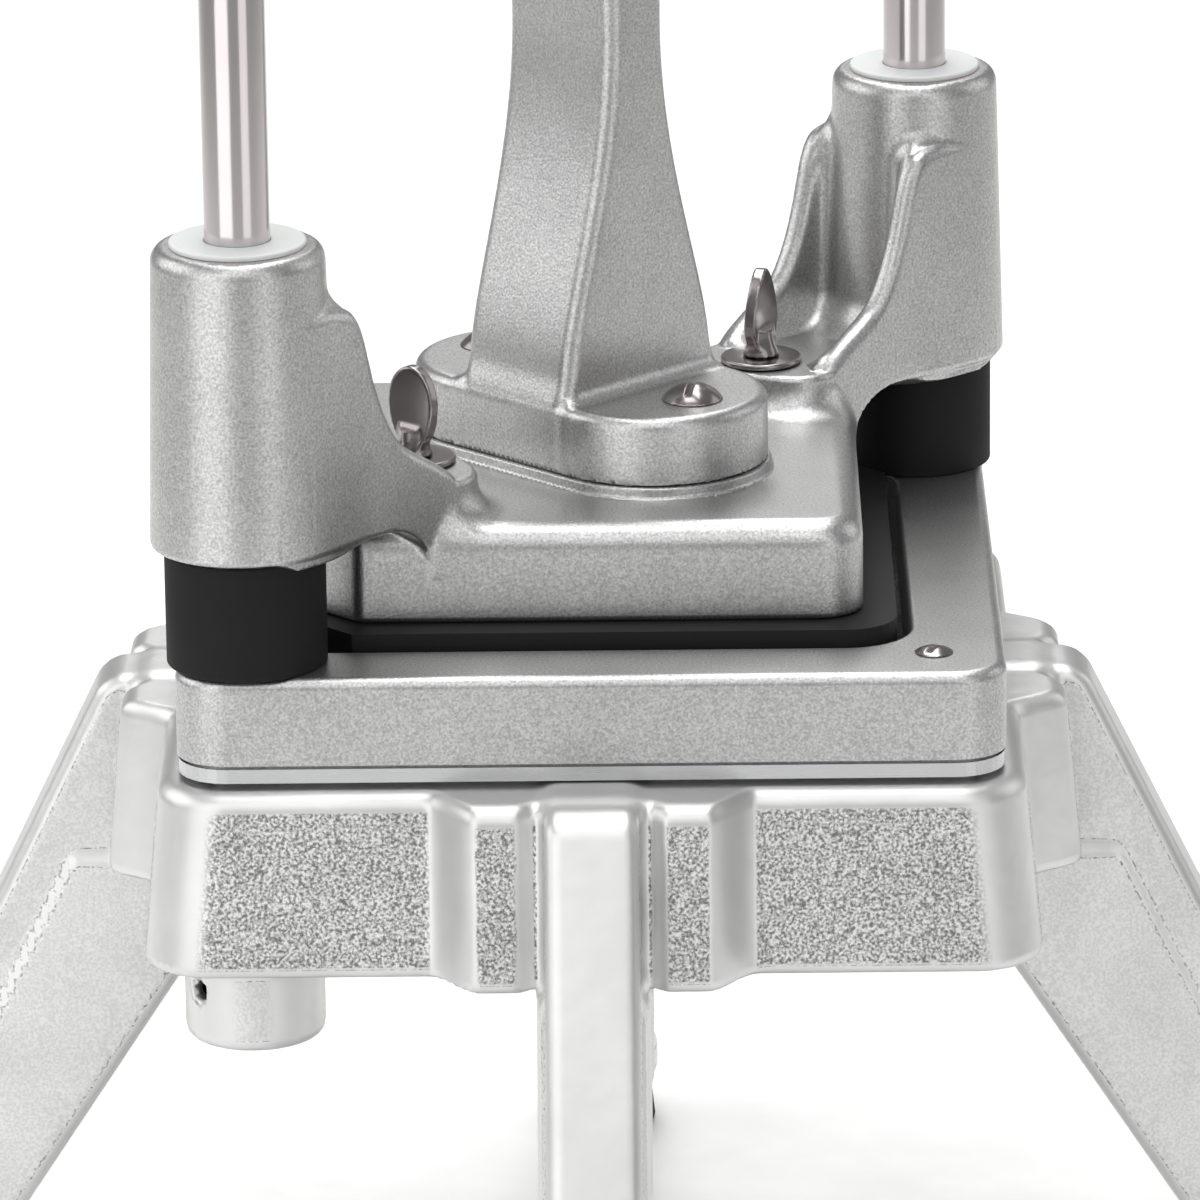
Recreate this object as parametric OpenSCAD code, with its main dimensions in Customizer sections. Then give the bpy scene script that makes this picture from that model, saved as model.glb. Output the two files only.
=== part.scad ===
// Push-down vegetable dicer on four cast legs.
// Food sits on a square grid of blades, and a toothed block on two
// diagonal guide rods is pushed down through the grid by a cross handle.
// Millimetres, Z up, origin on the floor under the middle of the grid.
// X runs to the right and Y to the rear. The pusher is drawn fully down.

/* [Stand] */
// Clear height under the base casting
stand_h = 120; // [80:1:180]
// Height of a rubber foot
foot_h = 12; // [8:0.5:18]
// Radius of a rubber foot where it meets the floor
foot_r = 11; // [9:0.5:14]
// How far each foot stands out beyond the top of its leg
leg_splay = 55; // [40:0.5:75]
// Width of a leg at its lower end, seen from the side
leg_end_w = 32.6; // [24:0.2:40]
// Thickness of the leg body
leg_t = 22.2; // [18:0.2:28]
// Thickness of the narrow nose along the outer edge of a leg
leg_nose_t = 18.4; // [14:0.2:20]
// Depth of that nose
leg_nose_d = 9.6; // [5:0.1:14]
// How far the leg pads stand out of the base at its top
leg_out = 14.2; // [11:0.2:20]
// How far a leg's inner edge starts inside the base's faces, at its underside
leg_in = 18; // [10:0.5:21]
// Rounding between a leg's top and its outer edge
leg_top_r = 4; // [1:0.25:6]
// Radius of the fillets between a leg's sides and the base's lower edge
leg_fillet_r = 5; // [2:0.5:7]

/* [Base] */
// How far the plain faces of the base stand out of the upper frame, at the top
base_out = 3.7; // [1:0.1:8]
// Height of the base casting
base_h = 36.5; // [30:0.5:44]
// Outward draft of each base face over its height
base_draft = 3.5; // [1:0.25:5]
// Radius of the vertical corners of the base
base_corner_r = 14; // [10:0.5:18]
// Wall of the base skirt
skirt_t = 5.5; // [4:0.5:8]
// Thickness of the deck at the top of the base
deck_t = 6; // [4:0.5:9]
// Gap between the grid and the edge of the square opening through the deck
deck_gap = 2.85; // [1.5:0.05:4]
// Step of the rib zone out of the plain face
rib_step = 9.9; // [6:0.1:12]
// Half width of the rib zone where its step starts
rib_zone_half = 32; // [26:0.5:38]
// Half width of the rib zone where its step ends
rib_flat_half = 21.9; // [18:0.5:25]
// Half distance between the inner edges of the two ribs
rib_inner_half = 14.8; // [12.5:0.1:17]
// Depth of the groove between a rib and the leg pad
groove_d = 2.5; // [1:0.25:4]
// Height of the seat that carries the blade plate
land_h = 1.1; // [0.5:0.1:2]

/* [Rods] */
// Diameter of a guide rod
rod_d = 12.7; // [10:0.1:16]
// Distance of a rod's axis from both faces of the upper frame beside it
rod_inset = 13.9; // [12.8:0.1:14.8]
// Radius of the rod sockets under the base
socket_r = 13.7; // [12:0.1:14.2]
// Drop of the sockets below the base
socket_drop = 17.9; // [14:0.1:24]
// Travel of the pusher up the rods
travel = 160; // [120:5:200]

/* [Blade set] */
// Thickness of the blade plate
plate_t = 2.8; // [2:0.1:4]
// Width of one square cell of the grid
cell_w = 12.7; // [12:0.1:12.8]
// Cells along each side of the grid
cells = 9; // [7:1:9]
// Thickness of a blade
blade_t = 0.6; // [0.4:0.05:1]
// Height of a blade
blade_h = 10; // [8:0.5:13]
// Height of the sharp edge of a blade
blade_edge_h = 1; // [0.5:0.1:1.5]
// Rise of the blades above the blade plate
blade_rise = 2; // [1:0.25:3]

/* [Upper frame] */
// Width of each of the four bars of the upper frame
frame_bar = 18.1; // [16:0.1:24]
// Thickness of the upper frame
frame_t = 18.1; // [14:0.1:22]
// Radius of the corners of the upper frame
frame_corner_r = 10; // [6:0.5:12]
// Radius of its top edge
frame_edge_r = 2.2; // [1:0.1:4]
// Gap between the grid and the edge of its square mouth
mouth_gap = 5.05; // [4:0.05:7]
// Radius of the corners of the mouth
mouth_r = 13; // [11:0.5:15]
// Height of a rubber bumper
bumper_h = 23.2; // [18:0.2:30]
// Radius of a rubber bumper
bumper_r = 15.6; // [13:0.1:16]

/* [Pusher] */
// How far the press plate stands out beyond the pusher block
block_inset = 6.5; // [4:0.1:9]
// Height of the pusher block
block_h = 19.4; // [16:0.1:24]
// Wall of the hollow block
block_wall = 5; // [4:0.25:7]
// Radius of its two round corners
block_corner_r = 9; // [6:0.5:12]
// Leg of the chamfer on its two corners beside the rods
block_chamfer = 8.1; // [6:0.1:12]
// Radius of its top edge
block_edge_r = 5; // [2:0.25:6]
// Radius of a rod boss at its top
boss_r = 16.7; // [15:0.1:18]
// Extra radius of a rod boss at its foot
boss_draft = 1.4; // [0:0.1:2]
// Height of a rod boss
boss_h = 59.6; // [50:0.1:70]
// Rounding of the rim of a rod boss
boss_edge_r = 3.2; // [1:0.1:4]
// Drop of the block's underside below the bosses
block_drop = 20.9; // [18.9:0.1:22.4]
// Thickness of an arm wall
arm_wall_t = 5; // [3.5:0.25:6]
// Thickness of the floor between the arm walls
arm_floor_t = 6; // [4:0.5:8]
// Height of the shoulder of an arm wall above its floor's underside
arm_shoulder_h = 47.9; // [40:0.1:54]
// Gap between the press plate and the mouth around it
plate_gap = 2.5; // [2:0.1:4]
// Thickness of the press plate
press_t = 6; // [5:0.25:9]
// Radius of its two round corners
press_corner_r = 10; // [8:0.5:14]
// Leg of the chamfer on its two corners beside the rods
press_chamfer = 13.3; // [12:0.1:16]
// Gap between a finger and the blades beside it
finger_gap = 0.7; // [0.4:0.05:1.2]
// How far the fingers pass through the blades
finger_past = 1; // [0.5:0.25:3]

/* [Bushes] */
// Radius of the bush sleeve
bush_r = 9.5; // [8.5:0.1:10.5]
// Radius of the flange of an upper bush
bush_flange_r = 13.2; // [11:0.1:13.4]
// Thickness of the flange of an upper bush
bush_flange_t = 1.1; // [0.8:0.1:2]
// Length of a bush sleeve
bush_l = 20; // [14:0.5:26]

/* [Handle] */
// Half length of the foot of the handle
flange_half_l = 41; // [39:0.5:46]
// Half width of the foot of the handle
flange_half_w = 23.2; // [21:0.1:27]
// Radius of the corners of the foot
flange_corner_r = 16.5; // [12:0.5:20]
// Height of the foot
flange_h = 13.7; // [10:0.1:18]
// Rounding of its rim
flange_edge_r = 2; // [1:0.25:3]
// Height of the pad that the foot stands on
flange_pad_h = 2.4; // [0.6:0.1:3.6]
// Margin of that pad round the foot
flange_pad_margin = 1.5; // [0.5:0.1:3]
// Thickness of the column, the same all the way up to its neck
column_t = 28.8; // [24:0.2:34]
// Width of the column where it leaves the foot
column_foot_w = 41.6; // [34:0.2:46]
// Width of the column at its neck
column_neck_w = 15.4; // [13:0.2:20]
// Height of the neck above the seat of the foot
neck_h = 94.9; // [80:0.1:120]
// Rounding of the column's edges
column_edge_r = 3; // [1:0.25:5]
// Height of the grip axis above the seat of the foot
grip_h = 150.9; // [135:0.1:190]
// Half length of the grip bar
grip_half_l = 105; // [85:1:130]
// Radius of the grip bar at its swell
grip_r = 13.5; // [11:0.25:16]
// Radius of the grip bar at its waist beside the column
grip_waist_r = 11.5; // [9:0.25:13]
// Distance of the handle screws from the ends of its foot
handle_screw_inset = 12.4; // [9:0.1:16]

/* [Thumb screws] */
// Gap between the foot of the handle and a thumb screw's washer
thumb_gap = 17.2; // [14:0.1:20]
// Height of its round pad above the block
thumb_pad_h = 8; // [5:0.25:11]
// Radius of its round pad
thumb_pad_r = 8.8; // [8:0.1:10]
// Radius of its washer
thumb_washer_r = 8.2; // [6.5:0.1:8.6]
// Thickness of its washer
thumb_washer_t = 1.2; // [0.8:0.1:2]
// Width of its wing
wing_w = 11.5; // [9:0.5:14]
// Height of its wing
wing_h = 15.7; // [12:0.1:18]
// Thickness of its wing
wing_t = 2.6; // [1.6:0.1:3.4]
// Turn of the front wing about its own axis
wing_turn_front = -42; // [-90:1:90]
// Turn of the rear wing about its own axis
wing_turn_rear = 66; // [-90:1:90]

/* [Hidden] */
$fn = 64;

// Overrun of every cut, and thickness of a sheet inside a hull
over = 0.5;
sheet = 0.02;
// Clearances
run_fit = 0.06;
slip = 0.3;
press_gap = 0.05;
seat = 0.2;
lap_gap = 0.08;

// Levels
z_base = stand_h;
z_deck = z_base + base_h;
z_plate = z_deck + land_h;
z_frame = z_plate + plate_t;
z_top = z_frame + frame_t;
z_boss = z_top + bumper_h + slip;
z_bush = z_boss + boss_h;
z_block = z_boss - block_drop;
z_block_top = z_block + block_h;
z_seat = z_block_top + flange_pad_h;
z_flange = z_seat + flange_h;
z_blade = z_frame + blade_rise - blade_h;
z_thumb = z_block_top + thumb_pad_h;

// Plan, from the grid outwards
grid_half = cells * cell_w / 2;
deck_open_w = 2 * (grid_half + deck_gap);
mouth_w = 2 * (grid_half + mouth_gap);
press_w = mouth_w - 2 * plate_gap;
block_w = press_w - 2 * block_inset;
frame_w = mouth_w + 2 * frame_bar;
base_w = frame_w + 2 * base_out;
leg_top_reach = base_w / 2 + leg_out;
leg_root_reach = base_w / 2 - leg_in;
foot_reach = leg_top_reach + leg_splay;
rod_xy = frame_w / 2 - rod_inset;
rod_u = rod_xy * sqrt(2);
rod_r = rod_d / 2;
thumb_u = flange_half_w + thumb_gap + thumb_washer_r;
thumb_reach = thumb_u / sqrt(2);

// Screws
m5_r = 2.5;
m6_r = 3;
m6_head_r = 6.2;
m6_head_h = 3.3;
slot_w = 1.2;
slot_depth = 1.1;

// Handle details
handle_screw_reach = flange_half_l - handle_screw_inset;

// Base details
base_edge_r = 2;
base_bottom_w = base_w + 2 * base_draft;
base_scale = base_w / base_bottom_w;
land_inset = 3.3;
screw_boss_r = 7;
screw_boss_h = 22;
leg_slope = (foot_reach + leg_end_w / 2 - leg_top_reach) / (z_deck - foot_h);
root_slope = (foot_reach - leg_end_w / 2 - leg_root_reach) / (z_base - foot_h);
gusset_inset = 2;
ledge_drop = 1.5;
foot_pad_share = 1;
foot_pad_r = foot_r * foot_pad_share;
foot_pad_h = 8;
foot_top_share = 0.9;
foot_hole_r = 5;
foot_web_h = 4;
foot_head_h = 3;
foot_screw_l = 14;
foot_lip_r = 1.5;

// Rod details
socket_floor = 2;
socket_lip_r = 2;
grub_r = 2.1;
grub_l = 5.5;
grub_drop = 6.5;
grub_turn = 7;
grub_hex_r = 1.2;
grub_hex_d = 2.5;
rod_chamfer = 0.8;
rod_tip_r = 2;
rod_top = z_bush + bush_flange_t + travel;
rod_bottom = z_base - socket_drop + socket_floor;

// Blade details
plate_inset = 0.3;
plate_open_gap = 0.35;
plate_open_half = grid_half + plate_open_gap;
plate_open_r = 4;
blade_seat_d = 1.5;
blade_half_l = plate_open_half + blade_seat_d - lap_gap;

// Frame details
frame_line_h = 0.6;
frame_line_d = 0.8;
frame_screw_head_r = 4.1;
frame_screw_head_h = 1.3;
frame_screw_grip = 14;
frame_screw_l = frame_t + plate_t + land_h + frame_screw_grip;

// Pusher details
finger_w = cell_w - blade_t - 2 * finger_gap;
arm_inset = 0.2;
arm_half_w = boss_r - arm_inset;
pusher_boss_r = 7.5;
screw_hole_gap = 0.3;
insert_r = 4.6;
insert_floor = 0.8;
bush_edge_r = 0.5;

// Arm wall, as shares of its run from the boss axis to the thumb screw
// and of its shoulder height, from the shoulder down to the block
arm_run = rod_u - thumb_u;
arm_top_share = [
    [0, 1], [0.17, 1], [0.245, 0.99], [0.32, 0.971], [0.363, 0.925],
    [0.396, 0.856], [0.424, 0.752], [0.46, 0.616], [0.514, 0.48],
    [0.589, 0.359], [0.686, 0.294], [0.783, 0.24], [0.89, 0.169],
    [0.944, 0.146], [0.99, 0.12], [1.05, 0]
];

// Column profile: height as a share of the neck height, and width
// as a share of the way from the foot width to the neck width
column_share = [
    [0, -0.168], [0.097, -0.168], [0.126, -0.122], [0.151, -0.046],
    [0.183, 0.015], [0.226, 0.046], [0.269, 0.092], [0.334, 0.221],
    [0.405, 0.382], [0.534, 0.611], [0.663, 0.824], [0.807, 0.954],
    [0.943, 1], [1, 1]
];
// Neck to grip: height share, extra width share, extra thickness share
yoke_share = [
    [0.25, 0, 0.06], [0.5, 0.08, 0.3], [0.7, 0.25, 0.75],
    [0.85, 0.45, 1.4], [1, 0.6, 2.1]
];

// Skirt under a wing: radius as a share of the washer radius, and
// height as a share of the wing height
collar_share = [
    [0.45, 0], [0.44, 0.03], [0.41, 0.07], [0.37, 0.12], [0.34, 0.18],
    [0.32, 0.23], [0.31, 0.28]
];

// Points of an arc
function arc(cx, cy, r, a0, a1, n) =
    [for (i = [0:n]) let (a = a0 + (a1 - a0) * i / n)
        [cx + r * cos(a), cy + r * sin(a)]];

// Rectangle with round corners
function round_rect(w, d, r, n = 8) = concat(
    arc(w / 2 - r, d / 2 - r, r, 0, 90, n),
    arc(r - w / 2, d / 2 - r, r, 90, 180, n),
    arc(r - w / 2, r - d / 2, r, 180, 270, n),
    arc(w / 2 - r, r - d / 2, r, 270, 360, n));

// Square with two round corners and two chamfers beside the rods
function cut_square(w, r, c, n = 8) = concat(
    [[w / 2, w / 2 - c], [w / 2 - c, w / 2]],
    arc(r - w / 2, w / 2 - r, r, 90, 180, n),
    [[-w / 2, c - w / 2], [c - w / 2, -w / 2]],
    arc(w / 2 - r, r - w / 2, r, 270, 360, n));

// Oval
function oval(a, b, n = 48) =
    [for (i = [0:n - 1]) [a * cos(360 * i / n), b * sin(360 * i / n)]];

// Smooth ease from 0 to 1
function ease(t) = (1 - cos(180 * min(1, max(0, t)))) / 2;

// How far the base stands out of its plain face at a place along a side
function rib_out(x) =
    rib_step * ease((rib_zone_half - abs(x)) / (rib_zone_half - rib_flat_half))
    - groove_d * ease((rib_inner_half - abs(x))
        / (rib_inner_half - leg_nose_t / 2));

// Outline of the base at its underside
function base_side(w, n) = concat(
    arc(base_corner_r - w / 2, base_corner_r - w / 2, base_corner_r, 180, 270, 6),
    [for (i = [0:n]) let (x = -rib_zone_half + 2 * rib_zone_half * i / n)
        [x, -w / 2 - rib_out(x)]]);
function turned(points, a) =
    [for (p = points) [p[0] * cos(a) - p[1] * sin(a), p[0] * sin(a) + p[1] * cos(a)]];
function base_outline(w) =
    [for (k = [0:3]) each turned(base_side(w, 24), 90 * k)];

// Solid through a list of rings with equal counts of points
module loft(rings) {
    n = len(rings[0]);
    m = len(rings);
    sides = [for (j = [0:m - 2]) for (i = [0:n - 1])
        let (a = j * n + i, b = j * n + (i + 1) % n)
        each [[a, a + n, b], [b, a + n, b + n]]];
    bottom = [for (i = [0:n - 1]) i];
    top = [for (i = [0:n - 1]) m * n - 1 - i];
    polyhedron([for (r = rings) each r], concat(sides, [bottom], [top]));
}

// Plate with a rounded top edge, from a function of the inset
module rounded_top(h, r, n = 6) {
    hull() {
        linear_extrude(h - r) children(0);
        for (i = [1:n]) {
            a = 90 * i / n;
            translate([0, 0, h - r + r * sin(a) - sheet])
                linear_extrude(sheet)
                    offset(delta = -r * (1 - cos(a))) children(0);
        }
    }
}

// Domed screw with a straight slot, its head's underside at zero
module slotted_screw(r, length, head_r, head_h) {
    dome_r = (head_r * head_r + head_h * head_h) / (2 * head_h);
    difference() {
        union() {
            intersection() {
                translate([0, 0, head_h - dome_r]) sphere(dome_r);
                cylinder(h = head_h, r = head_r);
            }
            translate([0, 0, -length]) cylinder(h = length + over, r = r);
        }
        translate([-head_r, -slot_w / 2, head_h - slot_depth])
            cube([2 * head_r, slot_w, slot_depth + over]);
    }
}

// Copies at the two rods: front left and rear right
module at_rods() {
    for (s = [-1, 1]) translate([s * rod_xy, s * rod_xy, 0]) children();
}
// Copies at the two free corners: front right and rear left
module at_free_corners() {
    for (s = [-1, 1]) translate([s * rod_xy, -s * rod_xy, 0]) children();
}
// Copies that point out of each rod socket, turned a little off the diagonal
module on_grub_axes() {
    for (s = [-1, 1]) translate([s * rod_xy, s * rod_xy, z_base - grub_drop])
        rotate([0, 90, s * 90 - 45 - grub_turn]) children();
}
// Copies on the four sides, drawn for the front
module on_sides() {
    for (k = [0:3]) rotate(90 * k) children();
}

// Leg on the front side, as plates in the plane of Y and Z
module side_plate(points, t) {
    rotate([90, 0, 90]) translate([0, 0, -t / 2]) linear_extrude(t) polygon(points);
}
module leg() {
    z_ledge = z_base - ledge_drop;
    y_end = foot_reach + leg_end_w / 2;
    y_ledge = leg_top_reach + leg_slope * (z_deck - z_ledge);
    gusset = deck_open_w / 2 + gusset_inset;
    z_gusset = z_base + (leg_root_reach - gusset) / root_slope;
    top_tilt = atan(leg_slope);
    top_corner = arc(leg_top_r / tan(45 + top_tilt / 2) - leg_top_reach,
        z_deck - leg_top_r, leg_top_r, 90, 180 - top_tilt, 4);
    // Narrow nose, which runs up between the ribs to the deck
    side_plate(concat([
        [-y_end, foot_h],
        [2 * leg_nose_d - y_end, foot_h],
        [2 * leg_nose_d - y_ledge, z_ledge],
        [-base_w / 2, z_ledge],
        [-base_w / 2, z_deck]
    ], top_corner), leg_nose_t);
    // Thicker body, which ends in a ledge at the base and a gusset inside
    side_plate([
        [leg_nose_d - y_end, foot_h],
        [leg_end_w / 2 - foot_reach, foot_h],
        [-gusset, z_gusset],
        [-gusset, z_deck - deck_t / 2],
        [-base_w / 2, z_deck - deck_t / 2],
        [-base_w / 2, z_ledge],
        [leg_nose_d - y_ledge, z_ledge]
    ], leg_t);
    translate([0, -foot_reach, foot_h]) cylinder(h = foot_pad_h, r = foot_pad_r);
    // Fillets up to the base's lower edge
    y_fillet = base_bottom_w / 2 + rib_step - groove_d;
    fillet = concat([[0, over]],
        arc(leg_t / 2 + leg_fillet_r, -leg_fillet_r, leg_fillet_r, 180, 90, 6),
        [[leg_t / 2 + leg_fillet_r, over]]);
    for (m = [0, 1]) mirror([m, 0, 0]) translate([0, skirt_t - base_w / 2, z_base])
        rotate([90, 0, 0]) linear_extrude(y_fillet + skirt_t - base_w / 2)
            polygon(fillet);
}

module base_body() {
    w = base_bottom_w;
    straight_h = base_h - base_edge_r;
    k = 1 - (1 - base_scale) * straight_h / base_h;
    k_edge = (w * k - 2 * base_edge_r) / (w * k);
    translate([0, 0, z_base]) linear_extrude(straight_h, scale = k)
        polygon(base_outline(w));
    translate([0, 0, z_base + straight_h]) scale([k, k, 1])
        linear_extrude(base_edge_r, scale = k_edge) polygon(base_outline(w));
}

module base_casting() color("gainsboro") {
    cavity_w = base_w - 2 * skirt_t;
    difference() {
        union() {
            difference() {
                base_body();
                translate([0, 0, z_base - over])
                    linear_extrude(base_h - deck_t + over)
                        polygon(round_rect(cavity_w, cavity_w, base_corner_r - skirt_t));
            }
            translate([0, 0, z_deck - over]) linear_extrude(land_h + over)
                polygon(round_rect(frame_w - 2 * land_inset, frame_w - 2 * land_inset,
                    frame_corner_r - land_inset));
            on_sides() leg();
            at_rods() translate([0, 0, z_base - socket_drop]) rotate_extrude()
                polygon(concat([[0, 0]],
                    arc(socket_r - socket_lip_r, socket_lip_r, socket_lip_r, -90, 0, 6),
                    [[socket_r, socket_drop + base_h - over],
                        [0, socket_drop + base_h - over]]));
            at_free_corners() translate([0, 0, z_deck - screw_boss_h])
                cylinder(h = screw_boss_h - over, r = screw_boss_r);
        }
        translate([0, 0, z_deck - deck_t - over])
            linear_extrude(deck_t + land_h + 2 * over)
                polygon(round_rect(deck_open_w, deck_open_w, plate_open_r));
        at_rods() translate([0, 0, rod_bottom])
            cylinder(h = z_top - rod_bottom, r = rod_r + press_gap);
        on_grub_axes() cylinder(h = 2 * socket_r, r = grub_r);
        at_free_corners() translate([0, 0, z_top - frame_screw_l])
            cylinder(h = frame_screw_l, r = m5_r + press_gap);
        on_sides() translate([0, -foot_reach, foot_h - over])
            cylinder(h = foot_screw_l + over, r = m5_r + press_gap);
    }
}

module foot() color("dimgray") {
    top_r = foot_r * foot_top_share;
    translate([0, -foot_reach, 0]) rotate_extrude() polygon(concat(
        [[foot_hole_r, 0]],
        arc(foot_r - foot_lip_r, foot_lip_r, foot_lip_r, -90, 0, 4),
        [[top_r, foot_h], [m5_r + press_gap, foot_h],
            [m5_r + press_gap, foot_h - foot_web_h], [foot_hole_r, foot_h - foot_web_h]]));
}
module foot_front() { foot(); }
module foot_right() { rotate(90) foot(); }
module foot_rear() { rotate(180) foot(); }
module foot_left() { rotate(270) foot(); }

module foot_screws() color("silver") on_sides()
    translate([0, -foot_reach, foot_h - foot_web_h]) mirror([0, 0, 1])
        slotted_screw(m5_r, foot_screw_l, foot_hole_r - slip, foot_head_h);

module blade_plate() color("lightsteelblue") {
    w = frame_w - 2 * plate_inset;
    difference() {
        translate([0, 0, z_plate]) linear_extrude(plate_t)
            polygon(round_rect(w, w, frame_corner_r - plate_inset));
        translate([0, 0, z_plate - over]) linear_extrude(plate_t + 2 * over)
            polygon(round_rect(2 * plate_open_half, 2 * plate_open_half, plate_open_r));
        for (k = [0, 90]) rotate(k) for (i = [1:cells - 1])
            translate([i * cell_w - grid_half - blade_t / 2 - lap_gap,
                -plate_open_half - blade_seat_d, z_plate - over])
                cube([blade_t + 2 * lap_gap, 2 * (plate_open_half + blade_seat_d),
                    plate_t + 2 * over]);
        at_rods() translate([0, 0, z_plate - over])
            cylinder(h = plate_t + 2 * over, r = rod_r + press_gap);
        at_free_corners() translate([0, 0, z_plate - over])
            cylinder(h = plate_t + 2 * over, r = m5_r + press_gap);
    }
}

// Row of blades that run along X, each with half of every cross lap cut
module blade_row(cut_z) {
    for (i = [1:cells - 1]) translate([0, i * cell_w - grid_half, z_blade]) difference() {
        rotate([90, 0, 90]) translate([0, 0, -blade_half_l]) linear_extrude(2 * blade_half_l)
            polygon([[-blade_t / 2, 0], [blade_t / 2, 0], [blade_t / 2, blade_h - blade_edge_h],
                [0, blade_h], [-blade_t / 2, blade_h - blade_edge_h]]);
        for (j = [1:cells - 1])
            translate([j * cell_w - grid_half - blade_t / 2 - lap_gap, -blade_t, cut_z])
                cube([blade_t + 2 * lap_gap, 2 * blade_t, blade_h / 2 + over + lap_gap]);
    }
}
module blades_across() color("lightgray") blade_row(-over);
module blades_deep() color("lightgray") rotate(90) blade_row(blade_h / 2 - lap_gap);

module upper_frame() color("silver") difference() {
    union() {
        translate([0, 0, z_frame]) linear_extrude(frame_line_h)
            polygon(round_rect(frame_w - 2 * frame_line_d, frame_w - 2 * frame_line_d,
                frame_corner_r - frame_line_d));
        translate([0, 0, z_frame + frame_line_h])
            rounded_top(frame_t - frame_line_h, frame_edge_r)
                polygon(round_rect(frame_w, frame_w, frame_corner_r));
    }
    translate([0, 0, z_frame - over]) linear_extrude(frame_t + 2 * over)
        polygon(round_rect(mouth_w, mouth_w, mouth_r, 12));
    at_rods() translate([0, 0, z_frame - over])
        cylinder(h = frame_t + 2 * over, r = rod_r + press_gap);
    at_free_corners() translate([0, 0, z_frame - over])
        cylinder(h = frame_t + 2 * over, r = m5_r + press_gap);
}

module frame_screws() color("silver") at_free_corners() translate([0, 0, z_top])
    slotted_screw(m5_r, frame_screw_l - over, frame_screw_head_r, frame_screw_head_h);

module rod() color("silver") translate([0, 0, rod_bottom]) rotate_extrude()
    polygon(concat(
        [[0, 0], [rod_r - rod_chamfer, 0], [rod_r, rod_chamfer]],
        arc(rod_r - rod_tip_r, rod_top - rod_bottom - rod_tip_r, rod_tip_r, 0, 90, 6),
        [[0, rod_top - rod_bottom]]));
module rod_front() { translate([-rod_xy, -rod_xy, 0]) rod(); }
module rod_rear() { translate([rod_xy, rod_xy, 0]) rod(); }

module bumper() color([0.1, 0.1, 0.1]) translate([0, 0, z_top]) difference() {
    cylinder(h = bumper_h, r = bumper_r);
    translate([0, 0, -over]) cylinder(h = bumper_h + 2 * over, r = rod_r + press_gap);
}
module bumper_front() { translate([-rod_xy, -rod_xy, 0]) bumper(); }
module bumper_rear() { translate([rod_xy, rod_xy, 0]) bumper(); }

module rod_grub_screws() color("dimgray") on_grub_axes()
    translate([0, 0, rod_r + press_gap]) difference() {
        cylinder(h = grub_l, r = grub_r - press_gap);
        translate([0, 0, grub_l - grub_hex_d])
            cylinder(h = grub_hex_d + over, r = grub_hex_r, $fn = 6);
    }

// Arm towards the rear right, in the plane of its diagonal and Z
module arm() {
    top = [for (s = arm_top_share) [rod_u - arm_run * s[0], z_boss + arm_shoulder_h * s[1]]];
    inner_u = rod_u - arm_run * arm_top_share[len(arm_top_share) - 1][0];
    wall = concat(top, [[inner_u, z_block_top - block_wall / 2],
        [thumb_u, z_block_top - block_wall / 2], [thumb_u, z_boss], [rod_u, z_boss]]);
    floor_end = thumb_u - thumb_pad_r / 2;
    rotate(45) {
        for (s = [-1, 1]) translate([0, s * (arm_half_w - arm_wall_t / 2), 0])
            rotate([90, 0, 0]) translate([0, 0, -arm_wall_t / 2])
                linear_extrude(arm_wall_t) polygon(wall);
        translate([floor_end, -arm_half_w, z_block_top - block_wall / 2])
            cube([block_w / sqrt(2) - block_chamfer - floor_end, 2 * arm_half_w,
                z_boss + arm_floor_t - z_block_top + block_wall / 2]);
        translate([floor_end, -arm_half_w, z_boss])
            cube([rod_u - floor_end, 2 * arm_half_w, arm_floor_t]);
        translate([thumb_u, 0, z_block]) cylinder(h = z_thumb - z_block, r = thumb_pad_r);
        translate([rod_u, 0, z_boss]) rotate_extrude() polygon(concat(
            [[0, 0]],
            arc(boss_r + boss_draft - boss_edge_r / 2, boss_edge_r / 2, boss_edge_r / 2,
                -90, 0, 5),
            arc(boss_r - boss_edge_r, boss_h - boss_edge_r, boss_edge_r, 0, 90, 6),
            [[0, boss_h]]));
    }
}

// Outline of the handle's foot, with a margin all round
function foot_outline(margin) = round_rect(2 * (flange_half_l + margin),
    2 * (flange_half_w + margin), flange_corner_r + margin);

module pusher_casting() color("darkgray") {
    inner_w = block_w - 2 * block_wall;
    inner_c = block_chamfer - block_wall * (2 - sqrt(2));
    difference() {
        union() {
            difference() {
                translate([0, 0, z_block]) rounded_top(block_h, block_edge_r)
                    polygon(cut_square(block_w, block_corner_r, block_chamfer));
                translate([0, 0, z_block - over])
                    linear_extrude(block_h - block_wall + over)
                        polygon(cut_square(inner_w, block_corner_r - block_wall, inner_c));
            }
            translate([0, 0, z_block_top - over]) rotate(-45)
                linear_extrude(flange_pad_h + over)
                    polygon(foot_outline(flange_pad_margin));
            for (a = [0, 180]) rotate(a) arm();
            for (s = [-1, 1]) rotate(-45) translate([s * handle_screw_reach, 0, z_block])
                cylinder(h = block_h, r = pusher_boss_r);
        }
        for (s = [-1, 1]) translate([s * rod_xy, s * rod_xy, 0]) {
            translate([0, 0, z_boss - over]) cylinder(h = bush_l + over, r = bush_r);
            translate([0, 0, z_bush - bush_l]) cylinder(h = bush_l + over, r = bush_r);
            translate([0, 0, z_boss]) cylinder(h = boss_h, r = rod_r + slip);
        }
        for (s = [-1, 1]) translate([s * thumb_reach, s * thumb_reach, z_block - over])
            cylinder(h = block_h + thumb_pad_h + 2 * over, r = m6_r + screw_hole_gap);
        for (s = [-1, 1]) rotate(-45) translate([s * handle_screw_reach, 0, z_block - over])
            cylinder(h = block_h + flange_pad_h + 2 * over, r = m6_r + press_gap);
    }
}

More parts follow.
